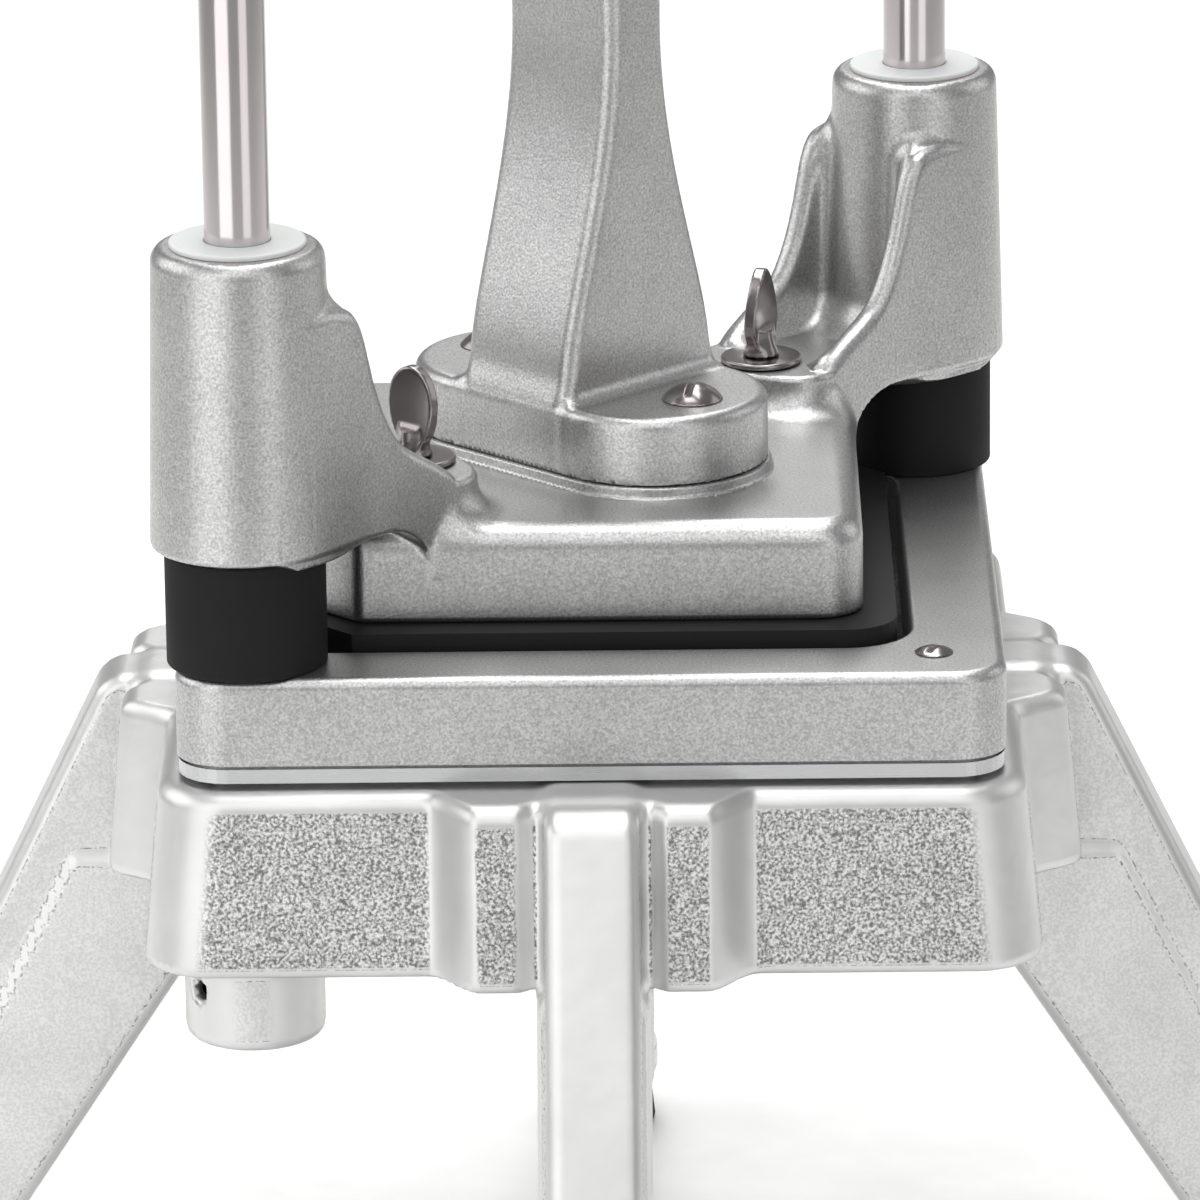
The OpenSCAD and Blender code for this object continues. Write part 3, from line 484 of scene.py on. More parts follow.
CORNERS = [(i, j, k) for i in (0, 1) for j in (0, 1) for k in (0, 1)]
EDGES = [(a, b) for a in range(8) for b in range(a + 1, 8)
         if sum(abs(p - q) for p, q in zip(CORNERS[a], CORNERS[b])) == 1]


def surface(grid):
    """Points, in grid steps, and quads of the surface where the grid changes sign."""
    n = np.array(grid.shape) - 1
    count = sum((grid[i:n[0] + i, j:n[1] + j, k:n[2] + k] < 0).astype(np.int8)
                for i, j, k in CORNERS)
    cells = np.argwhere((count > 0) & (count < 8))
    number = np.full(n, -1, np.int64)
    number[tuple(cells.T)] = np.arange(len(cells))
    values = [grid[tuple((cells + c).T)] for c in CORNERS]
    total, hits = np.zeros((len(cells), 3)), np.zeros((len(cells), 1))
    for a, b in EDGES:
        crosses = (values[a] < 0) != (values[b] < 0)
        t = np.where(crosses, values[a] / np.where(crosses, values[a] - values[b], 1), 0)
        place = np.array(CORNERS[a]) + t[:, None] * (np.array(CORNERS[b]) - CORNERS[a])
        total += np.where(crosses[:, None], place, 0)
        hits += crosses[:, None]
    quads = []
    for axis in range(3):
        u, v = (axis + 1) % 3, (axis + 2) % 3
        here, there = [slice(0, m + 1) for m in n], [slice(0, m + 1) for m in n]
        here[axis], there[axis] = slice(0, n[axis]), slice(1, n[axis] + 1)
        start, end = grid[tuple(here)] < 0, grid[tuple(there)] < 0
        at = np.argwhere(start != end)
        at = at[(at[:, u] > 0) & (at[:, v] > 0) & (at[:, u] < n[u]) & (at[:, v] < n[v])]
        ring = []
        for du, dv in ((1, 1), (0, 1), (0, 0), (1, 0)):
            cell = at.copy()
            cell[:, u] -= du
            cell[:, v] -= dv
            ring.append(number[tuple(cell.T)])
        ring = np.stack(ring, 1)
        outward = start[tuple(at.T)]
        quads.append(np.where(outward[:, None], ring, ring[:, ::-1]))
    return cells + total / hits, np.concatenate(quads)


def slope_of(field, p, reach):
    """Gradient of a field at points."""
    g = np.empty_like(p)
    for axis in range(3):
        step = np.zeros(3)
        step[axis] = reach
        ahead, behind = p + step, p - step
        g[:, axis] = (field(*ahead.T) - field(*behind.T)) / (2 * reach)
    return g


def cast(name, field, low, high, step):
    """Mesh of a field's surface, its points moved onto the surface, with true normals."""
    low = np.asarray(low, float)
    points, quads = surface(sample(field, low, high, step))
    points = low + points * step
    for _ in range(MOVES):
        slope = slope_of(field, points, MOVE_REACH * step)
        move = field(*points.T) / np.maximum((slope * slope).sum(1), LEAST_SLOPE)
        longest = LONGEST_MOVE * step
        points -= np.clip(move, -longest, longest)[:, None] * slope
    normals = slope_of(field, points, NORMAL_REACH * step)
    normals /= np.maximum(np.linalg.norm(normals, axis=1), TINY)[:, None]
    mesh = bpy.data.meshes.new(name)
    mesh.from_pydata((points * MM).tolist(), [], quads.tolist())
    mesh.shade_smooth()
    mesh.normals_split_custom_set_from_vertices(normals.tolist())
    return mesh


def softened(points, times=2, share=0.25):
    """A path with its corners cut again and again, until it runs smoothly."""
    points = np.asarray(points, float)
    for _ in range(times):
        start, end = points[:-1], points[1:]
        middle = [start * (1 - share) + end * share, start * share + end * (1 - share)]
        points = np.concatenate([points[:1], np.stack(middle, 1).reshape(-1, 2), points[-1:]])
    return points.tolist()


def rounded(corners, steps=6):
    """Points of a path whose corners (x, y, radius) are rounded."""
    path = []
    for i, (x, y, r) in enumerate(corners):
        if r == 0 or i in (0, len(corners) - 1):
            path.append((x, y))
            continue
        p = Vector((x, y))
        a = (Vector(corners[i - 1][:2]) - p).normalized()
        b = (Vector(corners[i + 1][:2]) - p).normalized()
        half = a.angle(b) / 2
        reach = r / math.tan(half)
        centre = p + (a + b).normalized() * (r / math.sin(half))
        start, end = p + a * reach - centre, p + b * reach - centre
        turn = start.angle_signed(end)
        for k in range(steps + 1):
            arm = start.copy()
            arm.rotate(Matrix.Rotation(-turn * k / steps, 2))
            path.append(tuple(centre + arm))
    return path


def rounded_ring(corners):
    """The same for a closed path, whose first corner is a plain one."""
    return rounded(corners + corners[:1])[:-1]


def loops_mesh(name, loops, closed):
    """Mesh through loops of equal counts of points, in millimetres. A closed one runs on
    from the last loop to the first."""
    loops = [np.asarray(loop, float) for loop in loops]
    count, rows = len(loops[0]), len(loops)
    faces = []
    for j in range(rows if closed else rows - 1):
        a, b = j * count, (j + 1) % rows * count
        for i in range(count):
            k = (i + 1) % count
            faces.append((a + i, a + k, b + k, b + i))
    mesh = bpy.data.meshes.new(name)
    mesh.from_pydata((np.concatenate(loops) * MM).tolist(), [], faces)
    finish_mesh(mesh)
    return mesh


def finish_mesh(mesh):
    """Merges double points, turns faces outward and shades smooth up to an angle."""
    bm = bmesh.new()
    bm.from_mesh(mesh)
    bmesh.ops.remove_doubles(bm, verts=bm.verts, dist=1e-4 * MM)
    holes = [e for e in bm.edges if e.is_boundary]
    if holes:
        bmesh.ops.holes_fill(bm, edges=holes, sides=0)
    bmesh.ops.recalc_face_normals(bm, faces=bm.faces)
    bm.to_mesh(mesh)
    bm.free()
    mesh.shade_smooth()
    mesh.set_sharp_from_angle(angle=SHARP)


# Points round a small, a plain and a wide turned piece
SMALL, PLAIN, WIDE = 64, 72, 96


def lathe(name, profile, reach, segments=PLAIN):
    """Solid of revolution from a profile of (radius, height). Its upright axis stands on the
    rods' diagonal, at this x and y."""
    turn = np.linspace(0, 2 * math.pi, segments, endpoint=False)
    loops = [np.stack([reach + r * np.cos(turn), reach + r * np.sin(turn),
                       np.full(segments, float(z))], 1) for r, z in profile]
    hollow = profile[0][0] > 0
    return loops_mesh(name, loops, hollow)


def joined(name, meshes):
    """One mesh of several."""
    bm = bmesh.new()
    for mesh in meshes:
        bm.from_mesh(mesh)
        bpy.data.meshes.remove(mesh)
    mesh = bpy.data.meshes.new(name)
    bm.to_mesh(mesh)
    bm.free()
    return mesh


def place(node, mesh, material, body, flat=False):
    """Puts a piece in the scene in place of its CAD node."""
    piece = bpy.data.objects.new(f"{node}_looks", mesh)
    bpy.context.scene.collection.objects.link(piece)
    mesh.materials.append(material)
    if flat:
        weighted = piece.modifiers.new("flat_faces", "WEIGHTED_NORMAL")
        weighted.keep_sharp = True
    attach(piece, body)
    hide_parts(node)


def dress(node, material):
    """Gives a CAD node its material."""
    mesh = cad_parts[node].data
    mesh.materials.clear()
    mesh.materials.append(material)


# Materials

# Numbered inputs and outputs of a mix node
FACTOR, NUMBER_A, NUMBER_B, COLOUR_A, COLOUR_B = 0, 2, 3, 6, 7
NUMBER_OUT, COLOUR_OUT = 0, 2

# What a casting's face is, by its normal: the level part tells flat faces from upright
# corners, the upward part the legs' sides, the skirt's drafted faces and rounded edges
CORNER_TO_FLAT = {"From Min": 0.95, "From Max": 0.985}
UPRIGHT_TO_DRAFTED = {"From Min": 0.07, "From Max": 0.088, "To Min": 0.2}
DRAFTED_TO_ROUNDED = {"From Min": 0.105, "From Max": 0.13, "To Min": 1.0, "To Max": 0.0}


def add(tree, kind, settings=None, links=None):
    """Adds a node with its settings and links. A key is an input's name or number, or a
    setting's name."""
    node = tree.nodes.new(kind)
    for key, value in (settings or {}).items():
        if isinstance(key, int) or key in node.inputs:
            node.inputs[key].default_value = value
        else:
            setattr(node, key, value)
    for key, source in (links or {}).items():
        tree.links.new(source, node.inputs[key])
    return node


def start_material(name, settings):
    """New material with a principled shader, and its object coordinates."""
    material = bpy.data.materials.new(name)
    material.use_nodes = True
    tree = material.node_tree
    tree.nodes.clear()
    shader = add(tree, "ShaderNodeBsdfPrincipled", settings)
    add(tree, "ShaderNodeOutputMaterial", links={"Surface": shader.outputs[0]})
    coords = add(tree, "ShaderNodeTexCoord").outputs["Object"]
    return material, tree, shader, coords


def finish_shader(tree, shader, colour, tone, rough, bumps):
    """Gives a shader its colour times a tone, its roughness and its bumps."""
    settings = {"data_type": "RGBA", "blend_type": "MULTIPLY", FACTOR: 1.0}
    links = {COLOUR_B: tone.outputs[0]}
    if isinstance(colour, bpy.types.NodeSocket):
        links[COLOUR_A] = colour
    else:
        settings[COLOUR_A] = (*colour, 1)
    tinted = add(tree, "ShaderNodeMix", settings, links)
    tree.links.new(tinted.outputs[COLOUR_OUT], shader.inputs["Base Color"])
    tree.links.new(rough.outputs[0], shader.inputs["Roughness"])
    tree.links.new(bumps.outputs[0], shader.inputs["Normal"])


def per_metre(millimetres):
    """Texture scale whose features are about this wide."""
    return 1 / (millimetres * MM)


def drafted_faces(tree):
    """How much of a point's grain is left: all on the drafted flat faces, none along the rounded
    edges, a little on the upright sides of the legs. Where it is gone, a lighter tone is painted,
    partly as a painted highlight."""
    normal = add(tree, "ShaderNodeTexCoord").outputs["Normal"]
    parts = add(tree, "ShaderNodeVectorMath", {"operation": "ABSOLUTE"}, {0: normal}).outputs[0]
    parts = add(tree, "ShaderNodeSeparateXYZ", links={0: parts}).outputs
    level = add(tree, "ShaderNodeMath", {"operation": "MAXIMUM"}, {0: parts[0], 1: parts[1]})
    kept = add(tree, "ShaderNodeMapRange", CORNER_TO_FLAT, {"Value": level.outputs[0]})
    for limits in (UPRIGHT_TO_DRAFTED, DRAFTED_TO_ROUNDED):
        share = add(tree, "ShaderNodeMapRange", limits, {"Value": parts[2]})
        kept = add(tree, "ShaderNodeMath", {"operation": "MULTIPLY"},
                   {0: kept.outputs[0], 1: share.outputs[0]})
    return kept.outputs[0]


CAST = SimpleNamespace(
    cloud=30, swell=9,                  # Widths of its clouds and gentle swell, in grains
    swell_depth=0.7,                    # In depths of the grain
    cloud_noise=(0.3, 0.7), tone=(0.93, 1.03),  # Noise and tone of the darkest and lightest
    rough=(0.06, -0.05),                # Roughness added in the pits and on the grains
    worn_height=0.62, worn_highlight_tone=0.82,   # Height of the grain where it is worn off, and the lighter tone painted there: real wear with a painted highlight
)


def cast_aluminium(name, bright, pit, grain, depth, roughness, contrast, worn_and_highlit=False):
    """Cast aluminium, tumbled: pale metal whose grain glints on broad faces. Where it is
    worn, the edges are smooth, and a lighter tone is painted on them: real wear with a painted
    highlight."""
    material, tree, shader, coords = start_material(name, {"Metallic": 1.0})
    fine = add(tree, "ShaderNodeTexNoise",
               {"Scale": per_metre(grain), "Detail": 2.0, "Roughness": 0.55},
               {"Vector": coords}).outputs["Fac"]
    pits = add(tree, "ShaderNodeMapRange",
               {"From Min": 0.5 - contrast, "From Max": 0.5 + contrast}, {"Value": fine})
    if worn_and_highlit:
        # On rounded edges and upright corners the grain is smoothed off, as tumbling wears it,
        # and a lighter even tone is painted there as a painted highlight
        kept = drafted_faces(tree)
        fine = add(tree, "ShaderNodeMix", {NUMBER_A: CAST.worn_height},
                   {FACTOR: kept, NUMBER_B: fine}).outputs[NUMBER_OUT]
        pits = add(tree, "ShaderNodeMix", {NUMBER_A: CAST.worn_highlight_tone},
                   {FACTOR: kept, NUMBER_B: pits.outputs[0]})
    grains = add(tree, "ShaderNodeMix",
                 {"data_type": "RGBA", COLOUR_A: (*pit, 1), COLOUR_B: (*bright, 1)},
                 {FACTOR: pits.outputs[0]})
    cloud = add(tree, "ShaderNodeTexNoise",
                {"Scale": per_metre(grain * CAST.cloud), "Detail": 3.0}, {"Vector": coords})
    tone = add(tree, "ShaderNodeMapRange",
               {"From Min": CAST.cloud_noise[0], "From Max": CAST.cloud_noise[1],
                "To Min": CAST.tone[0], "To Max": CAST.tone[1]},
               {"Value": cloud.outputs["Fac"]})
    rough = add(tree, "ShaderNodeMapRange",
                {"To Min": roughness + CAST.rough[0], "To Max": roughness + CAST.rough[1]},
                {"Value": fine})
    swell = add(tree, "ShaderNodeTexNoise",
                {"Scale": per_metre(grain * CAST.swell), "Detail": 2.0}, {"Vector": coords})
    waves = add(tree, "ShaderNodeBump",
                {"Strength": 1.0, "Distance": depth * MM * CAST.swell_depth},
                {"Height": swell.outputs["Fac"]})
    bumps = add(tree, "ShaderNodeBump", {"Strength": 1.0, "Distance": depth * MM},
                {"Height": fine, "Normal": waves.outputs[0]})
    finish_shader(tree, shader, grains.outputs[COLOUR_OUT], tone, rough, bumps)
    return material


DRAWN = SimpleNamespace(
    stretch=0.02,                       # Width of a line in shares of its length
    stain=14, tone=(0.93, 1.02),        # Width of its stains in millimetres, and their tone
    rough=(0.75, 1.3),                  # Roughness of its lines in shares of the metal's
)


def drawn_steel(name, base, roughness, grit, along=2, depth=0.004):
    """Metal ground, polished or turned along one axis: fine lines that stretch the highlights
    across them. The real lines are some hundredths of a millimetre wide, too fine to show:
    the grit is drawn as coarse as it needs to be."""
    material, tree, shader, coords = start_material(name, {"Metallic": 1.0})
    stretch = [1.0, 1.0, 1.0]
    stretch[along] = DRAWN.stretch
    lines = add(tree, "ShaderNodeMapping", {"Scale": stretch}, {"Vector": coords})
    scratch = add(tree, "ShaderNodeTexNoise",
                  {"Scale": per_metre(grit), "Detail": 3.0, "Roughness": 0.6},
                  {"Vector": lines.outputs[0]}).outputs["Fac"]
    stain = add(tree, "ShaderNodeTexNoise", {"Scale": per_metre(DRAWN.stain), "Detail": 2.0},
                {"Vector": coords})
    tone = add(tree, "ShaderNodeMapRange", {"To Min": DRAWN.tone[0], "To Max": DRAWN.tone[1]},
               {"Value": stain.outputs["Fac"]})
    rough = add(tree, "ShaderNodeMapRange", {"To Min": roughness * DRAWN.rough[0],
                                             "To Max": roughness * DRAWN.rough[1]},
                {"Value": scratch})
    bumps = add(tree, "ShaderNodeBump", {"Strength": 1.0, "Distance": depth * MM},
                {"Height": scratch})
    finish_shader(tree, shader, base, tone, rough, bumps)
    return material


MOULDED = SimpleNamespace(
    cloud=20, tone=(0.93, 1.07),        # Width of its clouds in millimetres, and their tone
    rough=0.08,                         # How much rougher or smoother a cloud is
)


def moulded(name, base, roughness, grain, depth, **settings):
    """Moulded or turned rubber, nylon or paint: dull and slightly uneven, with a fine
    texture."""
    material, tree, shader, coords = start_material(name, {"IOR": 1.5, **settings})
    fine = add(tree, "ShaderNodeTexNoise", {"Scale": per_metre(grain), "Detail": 2.0},
               {"Vector": coords})
    cloud = add(tree, "ShaderNodeTexNoise", {"Scale": per_metre(MOULDED.cloud), "Detail": 3.0},
                {"Vector": coords}).outputs["Fac"]
    tone = add(tree, "ShaderNodeMapRange",
               {"To Min": MOULDED.tone[0], "To Max": MOULDED.tone[1]}, {"Value": cloud})
    rough = add(tree, "ShaderNodeMapRange", {"To Min": roughness - MOULDED.rough,
                                             "To Max": roughness + MOULDED.rough},
                {"Value": cloud})
    bumps = add(tree, "ShaderNodeBump", {"Strength": 1.0, "Distance": depth * MM},
                {"Height": fine.outputs["Fac"]})
    finish_shader(tree, shader, base, tone, rough, bumps)
    return material


def make_finishes(c):
    """Makes the finishes, each named for its material and how its surface is made."""
    # Sandy grain on the skirt and the ribs, with worn edges made smooth and given a lighter tone,
    # a painted highlight
    cast_aluminium("tumbled_cast_aluminium", c.bright, c.bright_pit, grain=0.6, depth=0.2,
                   roughness=0.44, contrast=0.13, worn_and_highlit=True)
    # Denser castings: silky grey, with a grain that is only just seen
    cast_aluminium("fine_cast_aluminium", c.casting, c.casting_pit, grain=0.5, depth=0.05,
                   roughness=0.35, contrast=0.2)
    # The same, a little duller, on the broad face of the upper frame
    cast_aluminium("fine_cast_aluminium_frame", c.casting, c.casting_pit, grain=0.5,
                   depth=0.06, roughness=0.37, contrast=0.2)
    # Rods: upright highlights, nearly a mirror
    drawn_steel("polished_stainless_steel", c.steel, roughness=0.16, grit=0.25)
    # Screws and washers: softer highlights on a slightly warm grey
    drawn_steel("barrel_polished_steel", c.screw, roughness=0.2, grit=0.3)
    # Blades: satin, with lines along them
    drawn_steel("ground_stainless_steel", c.blade, roughness=0.28, grit=0.3, along=0,
                depth=0.008)
    # Inserts: yellow metal with the marks of the lathe
    drawn_steel("turned_brass", c.brass, roughness=0.3, grit=0.3)
    # Grub screws: dull and nearly black
    drawn_steel("black_oxide_steel", c.oxide, roughness=0.45, grit=0.4)
    # Feet and bumpers: black without a clear highlight
    moulded("moulded_black_rubber", c.rubber, roughness=0.7, grain=0.4, depth=0.02,
            **{"Specular IOR Level": 0.3})
    # Push block: black, with a faint sheen along its edges
    moulded("moulded_black_nylon", c.nylon, roughness=0.6, grain=0.3, depth=0.015,
            **{"Specular IOR Level": 0.35})
    # Bushes: milky white that lets a little light in
    moulded("turned_natural_nylon", c.bush, roughness=0.42, grain=0.6, depth=0.01,
            **{"Subsurface Weight": 0.35, "Subsurface Scale": 0.004})


def finishes(context):
    """The finishes by name, made once."""
    if "tumbled_cast_aluminium" not in bpy.data.materials:
        make_finishes(context.scene.dicer_finish)
    return bpy.data.materials


# Castings

def base_field(s):
    """Base casting: hollow skirt with ribs, four legs, deck, sockets and bosses."""
    d = BASE
    deck = LEVEL.base_top - s.land_height
    low = deck - s.height
    ledge = low - s.ledge_drop
    # How far a leg's outer and inner side lean outwards on the way down
    slope = (LEVEL.foot_reach + s.leg_end_out - s.leg_top) / (deck - LEVEL.foot)
    root = (LEVEL.foot_reach - s.leg_end_in - s.leg_root) / (low - LEVEL.foot)
    grub_turn = math.pi / 4 - math.asin(s.grub_shift / s.socket)

    def skirt_field(x, y, z, b):
        half = s.deck_half + s.draft * (deck - z) / s.height
        rib = (s.rib_step * ease((s.rib_start - b) / (s.rib_start - s.rib_flat))
               - s.groove * ease((s.rib_inner - b)
                                 / (s.rib_inner - s.nose_half - d.groove_gap)))
        skirt = slab(square(x, y, half, s.corner) - rib, z, low, deck, s.edge, s.edge_low)
        # The hollow is open below, so it runs on past the skirt
        hollow = slab(square(x, y, s.deck_half - s.wall, s.corner - s.wall), z,
                      low - d.hollow_open * s.wall, deck - s.deck, d.hollow_round, 0)
        return cut(skirt, hollow, d.hollow_rim)

    def leg_field(a, b, z, below):
        # One side profile, thin at the nose, with a soft step behind it
        depth = (s.leg_top + slope * (deck - z) - a) / math.hypot(1, slope)
        inner = (a - s.leg_root - root * (low - z)) / math.hypot(1, root)
        side = both(-depth, z - deck, s.leg_corner)
        side = np.maximum(side, np.maximum(-inner, LEVEL.foot - z))
        past = depth - s.nose_depth
        swell = np.clip(past / (s.body_depth - s.nose_depth), 0, 1)
        thick = s.nose_half + below * (s.nose_step * ease(past / s.step_width)
                                       + (s.leg_half - s.nose_half - s.nose_step) * swell)
        leg = slab(np.maximum(side, s.deck_half - s.wall - a), b, -thick, thick, s.leg_edge)
        web = np.maximum(np.maximum(a - s.deck_half + d.web_inset,
                                    s.opening_half + d.web_inset - a),
                         np.maximum(-inner, z - deck + d.web_inset))
        leg = np.minimum(leg, slab(web, b, -s.leg_half, s.leg_half, d.web_edge))
        pad = slab(np.hypot(a - LEVEL.foot_reach, b) - s.pad, z, LEVEL.foot,
                   LEVEL.foot + s.pad_height, d.pad_edge, d.pad_low)
        return join(leg, pad, d.pad_fillet)

    def field(x, y, z):
        a, b = np.maximum(np.abs(x), np.abs(y)), np.minimum(np.abs(x), np.abs(y))
        below = ease((ledge + s.ledge_round / 2 - z) / s.ledge_round)
        # The fillet between a leg and the skirt grows below the ribs
        body = join(skirt_field(x, y, z, b), leg_field(a, b, z, below),
                    s.rib_fillet + (s.fillet - s.rib_fillet) * below)
        # Sockets at the rods, and bosses for the frame screws
        u, v = diagonals(x, y)
        sunk = deck - d.sunk
        rod = np.hypot(np.abs(u) - LEVEL.rod_u, v)
        socket = slab(rod - s.socket, z, low - s.socket_drop, sunk, d.socket_edge,
                      d.socket_low)
        body = join(body, socket, d.socket_fillet)
        screw = np.hypot(u, np.abs(v) - LEVEL.rod_u)
        boss = slab(screw - d.boss, z, deck - d.boss_length, sunk, d.boss_edge, d.boss_low)
        body = join(body, boss, d.boss_fillet)
        # Seat of the blade plate, opening, bores of the rods and holes of the grub screws
        land = square(x, y, LEVEL.frame_half - s.land_inset, d.land_corner)
        body = np.minimum(body, slab(land, z, sunk, LEVEL.plate, d.land_edge, d.land_low))
        body = cut(body, square(x, y, s.opening_half, d.opening_corner), d.opening_edge)
        bore = slab(rod - LEVEL.rod_radius - d.bore_gap, z, LEVEL.rod_low - d.bore_gap,
                    LEVEL.top, d.bore_edge)
        body = cut(body, bore, d.bore_edge)
        end = np.where(u > 0, 1.0, -1.0)
        px, py = end * x - LEVEL.rod_xy, end * y - LEVEL.rod_xy
        across = px * math.sin(grub_turn) - py * math.cos(grub_turn)
        along = px * math.cos(grub_turn) + py * math.sin(grub_turn)
        grub = np.maximum(np.hypot(across, z - low + s.grub_drop) - s.grub, -along)
        return cut(body, grub, d.grub_edge)

    return field


def pusher_field(s, h):
    """Pusher casting: hollow block, two walled arms and two rod bosses."""
    d = PUSHER
    block_top = LEVEL.block + s.block_height
    rise = LEVEL.boss_top - LEVEL.boss
    rim = [(LEVEL.rod_u, d.rim_top), *ARM_RIM, (s.wall_start, d.rim_end)]
    wall_side = [(u, block_top + z) for u, z in softened(rim)]
    wall_side += [(s.wall_start, LEVEL.boss), (LEVEL.rod_u, LEVEL.boss)]
    # Side of an arm's root, with the hollow curve under it
    under = [(s.root_start + s.root_run * (1 - math.cos(t)),
              LEVEL.boss - s.root_low * (1 - math.sin(t)))
             for t in np.radians(np.linspace(0, 90, 10))]
    above, end = LEVEL.boss + d.root_rise, under[-1][0] + d.root_lap
    root_side = [(d.root_inside, above), (d.root_inside, under[0][1]), *under,
                 (end, LEVEL.boss), (end, above)]

    def arm_field(u, v, z, rod, thumb):
        boss_radius = s.boss + s.boss_draft * (LEVEL.boss_top - z) / rise
        # Rounding of a boss's rim, cut off by its machined top face
        boss = slab(rod - boss_radius, z, LEVEL.boss, LEVEL.boss_top + s.boss_face, s.boss_edge,
                    s.boss_low)
        boss = both(boss, z - LEVEL.boss_top, d.facing_edge)
        floor = np.maximum(s.wall_start + d.floor_lap - u, u - LEVEL.rod_u)
        floor = slab(np.maximum(floor, v - s.wall_outer + d.floor_inset), z, LEVEL.boss,
                     LEVEL.boss + s.floor, d.floor_edge, d.floor_low)
        outer = blend(s.wall_outer, boss_radius,
                      (u - s.boss_start) / (LEVEL.rod_u - s.boss_start))
        edge = blend(d.wall_low, d.wall_edge,
                     (z - LEVEL.boss - d.wall_edge_start) / d.wall_edge_run)
        wall = slab(polygon(u, z, wall_side), v, outer - s.wall_thick, outer, edge)
        arm = np.maximum(join(boss, floor, s.floor_fillet), v - outer + d.floor_inset)
        arm = np.minimum(boss, arm)
        snug = blend(d.snug_fillet, s.inner_fillet,
                     (s.wall_outer - d.floor_inset - v) / d.snug_run)
        arm = join(arm, wall, snug * ease((LEVEL.rod_u - u) / d.fade))
        # Root of an arm: round under the thumb screw, and as wide as the arm behind it
        back = (LEVEL.rod_u - s.root_front) / 2
        root = join(thumb - s.pad, square(u - s.root_front - back, v, back, s.root_corner,
                                          s.wall_outer), d.root_fillet)
        root = slab(root, z, LEVEL.block + d.root_floor, LEVEL.washer_low - d.root_drop,
                    d.root_edge, 0)
        return np.minimum(arm, both(root, polygon(u, z, root_side), d.root_side_edge))

    def hollow_field(x, y, z, u, v, thumb):
        # Hollow underside, with a post for each screw
        hollow = both(square(x, y, s.block_half - s.wall, d.hollow_corner),
                      u - s.block_cut + s.wall, d.hollow_cut_edge)
        hollow = slab(hollow, z, LEVEL.block - d.hollow_open, block_top - s.wall,
                      d.hollow_round, 0)
        hollow = cut(hollow, thumb - s.pad, d.post_fillet)
        return cut(hollow, np.hypot(u, v - h.screw_reach) - s.post, d.post_fillet)

    def field(x, y, z):
        u, v = map(np.abs, diagonals(x, y))
        rod, thumb = np.hypot(u - LEVEL.rod_u, v), np.hypot(u - LEVEL.thumb_u, v)
        outline = both(square(x, y, s.block_half, s.block_corner), u - s.block_cut,
                       d.cut_edge)
        block = slab(outline, z, LEVEL.block, block_top, s.block_edge, d.block_low)
        body = join(block, arm_field(u, v, z, rod, thumb),
                    blend(s.side_fillet, s.block_fillet, (d.side_end - u) / d.side_run))
        # Low pad round the handle's foot
        wide = h.foot_wide + s.foot_margin
        seat = square(v, u, h.foot_long + s.foot_margin, wide, wide)
        seat = slab(seat, z, block_top - d.seat_sunk, LEVEL.seat, d.seat_edge)
        body = join(body, seat, d.seat_fillet)
        body = cut(body, hollow_field(x, y, z, u, v, thumb), d.hollow_rim)
        body = cut(body, rod - LEVEL.sleeve_radius - d.bore_gap, d.bore_edge)
        return cut(body, thumb - d.thumb_hole, d.thumb_hole_edge)

    return field


def handle_field(s):
    """Handle casting: long foot, tapering column and a cross grip with two swells."""
    d = HANDLE
    axis = LEVEL.grip_top - s.grip

    def field(x, y, z):
        u, v = diagonals(x, y)
        height = z - LEVEL.seat
        foot = slab(square(v, u, s.foot_long, s.foot_wide, s.foot_wide), height, 0,
                    s.foot_height, s.foot_edge, d.foot_low)
        shoulder = ease((height - s.shoulder_start)
                        / (s.taper_start + d.shoulder_lap - s.shoulder_start))
        taper = ease(np.clip((height - s.taper_start) / s.taper_height, 0, 1)
                     ** d.taper_power)
        half = (s.column_foot + (s.column_shoulder - s.column_foot) * shoulder
                + (s.column_neck - s.column_shoulder) * taper)
        a = np.abs(v) - s.column_half
        column = both(a, np.abs(u) - half, s.column_edge)
        column = np.maximum(column, np.maximum(z - axis, d.sunk - height))
        body = join(foot, column,
                    blend(s.side_fillet, s.flow_fillet, (d.flow_start - a) / d.flow_run))
        # Grip
        along = np.clip(np.abs(v) / (s.grip_half - s.grip), 0, 1)
        radius = s.waist + (s.grip - s.waist) * (1 + np.cos(2 * math.pi * along)) / 2
        past = np.maximum(np.abs(v) - s.grip_half + s.grip, 0)
        bar = np.sqrt(past ** 2 + u ** 2 + (z - axis) ** 2) - radius
        return join(body, bar, s.grip_fillet * ease((height - d.grip_start) / d.grip_run)
                    + d.grip_fillet)

    return field


class BuildOperator:
    """Shared options of the operators that build the pieces."""
    bl_options = {"REGISTER", "UNDO"}


class DICER_OT_base(BuildOperator, bpy.types.Operator):
    """Build the base casting with its ribs, legs and rod sockets"""
    bl_idname = "dicer.base"
    bl_label = "Base casting"

    def execute(self, context):
        s = in_mm(context.scene.dicer_base)
        reach = LEVEL.foot_reach + s.leg_end_out + MARGIN
        mesh = cast("base_casting", base_field(s), (-reach, -reach, LEVEL.foot - MARGIN),
                    (reach, reach, LEVEL.plate + MARGIN), BASE_GRID)
        place("base_casting", mesh, finishes(context)["tumbled_cast_aluminium"], "stand")
        return {"FINISHED"}


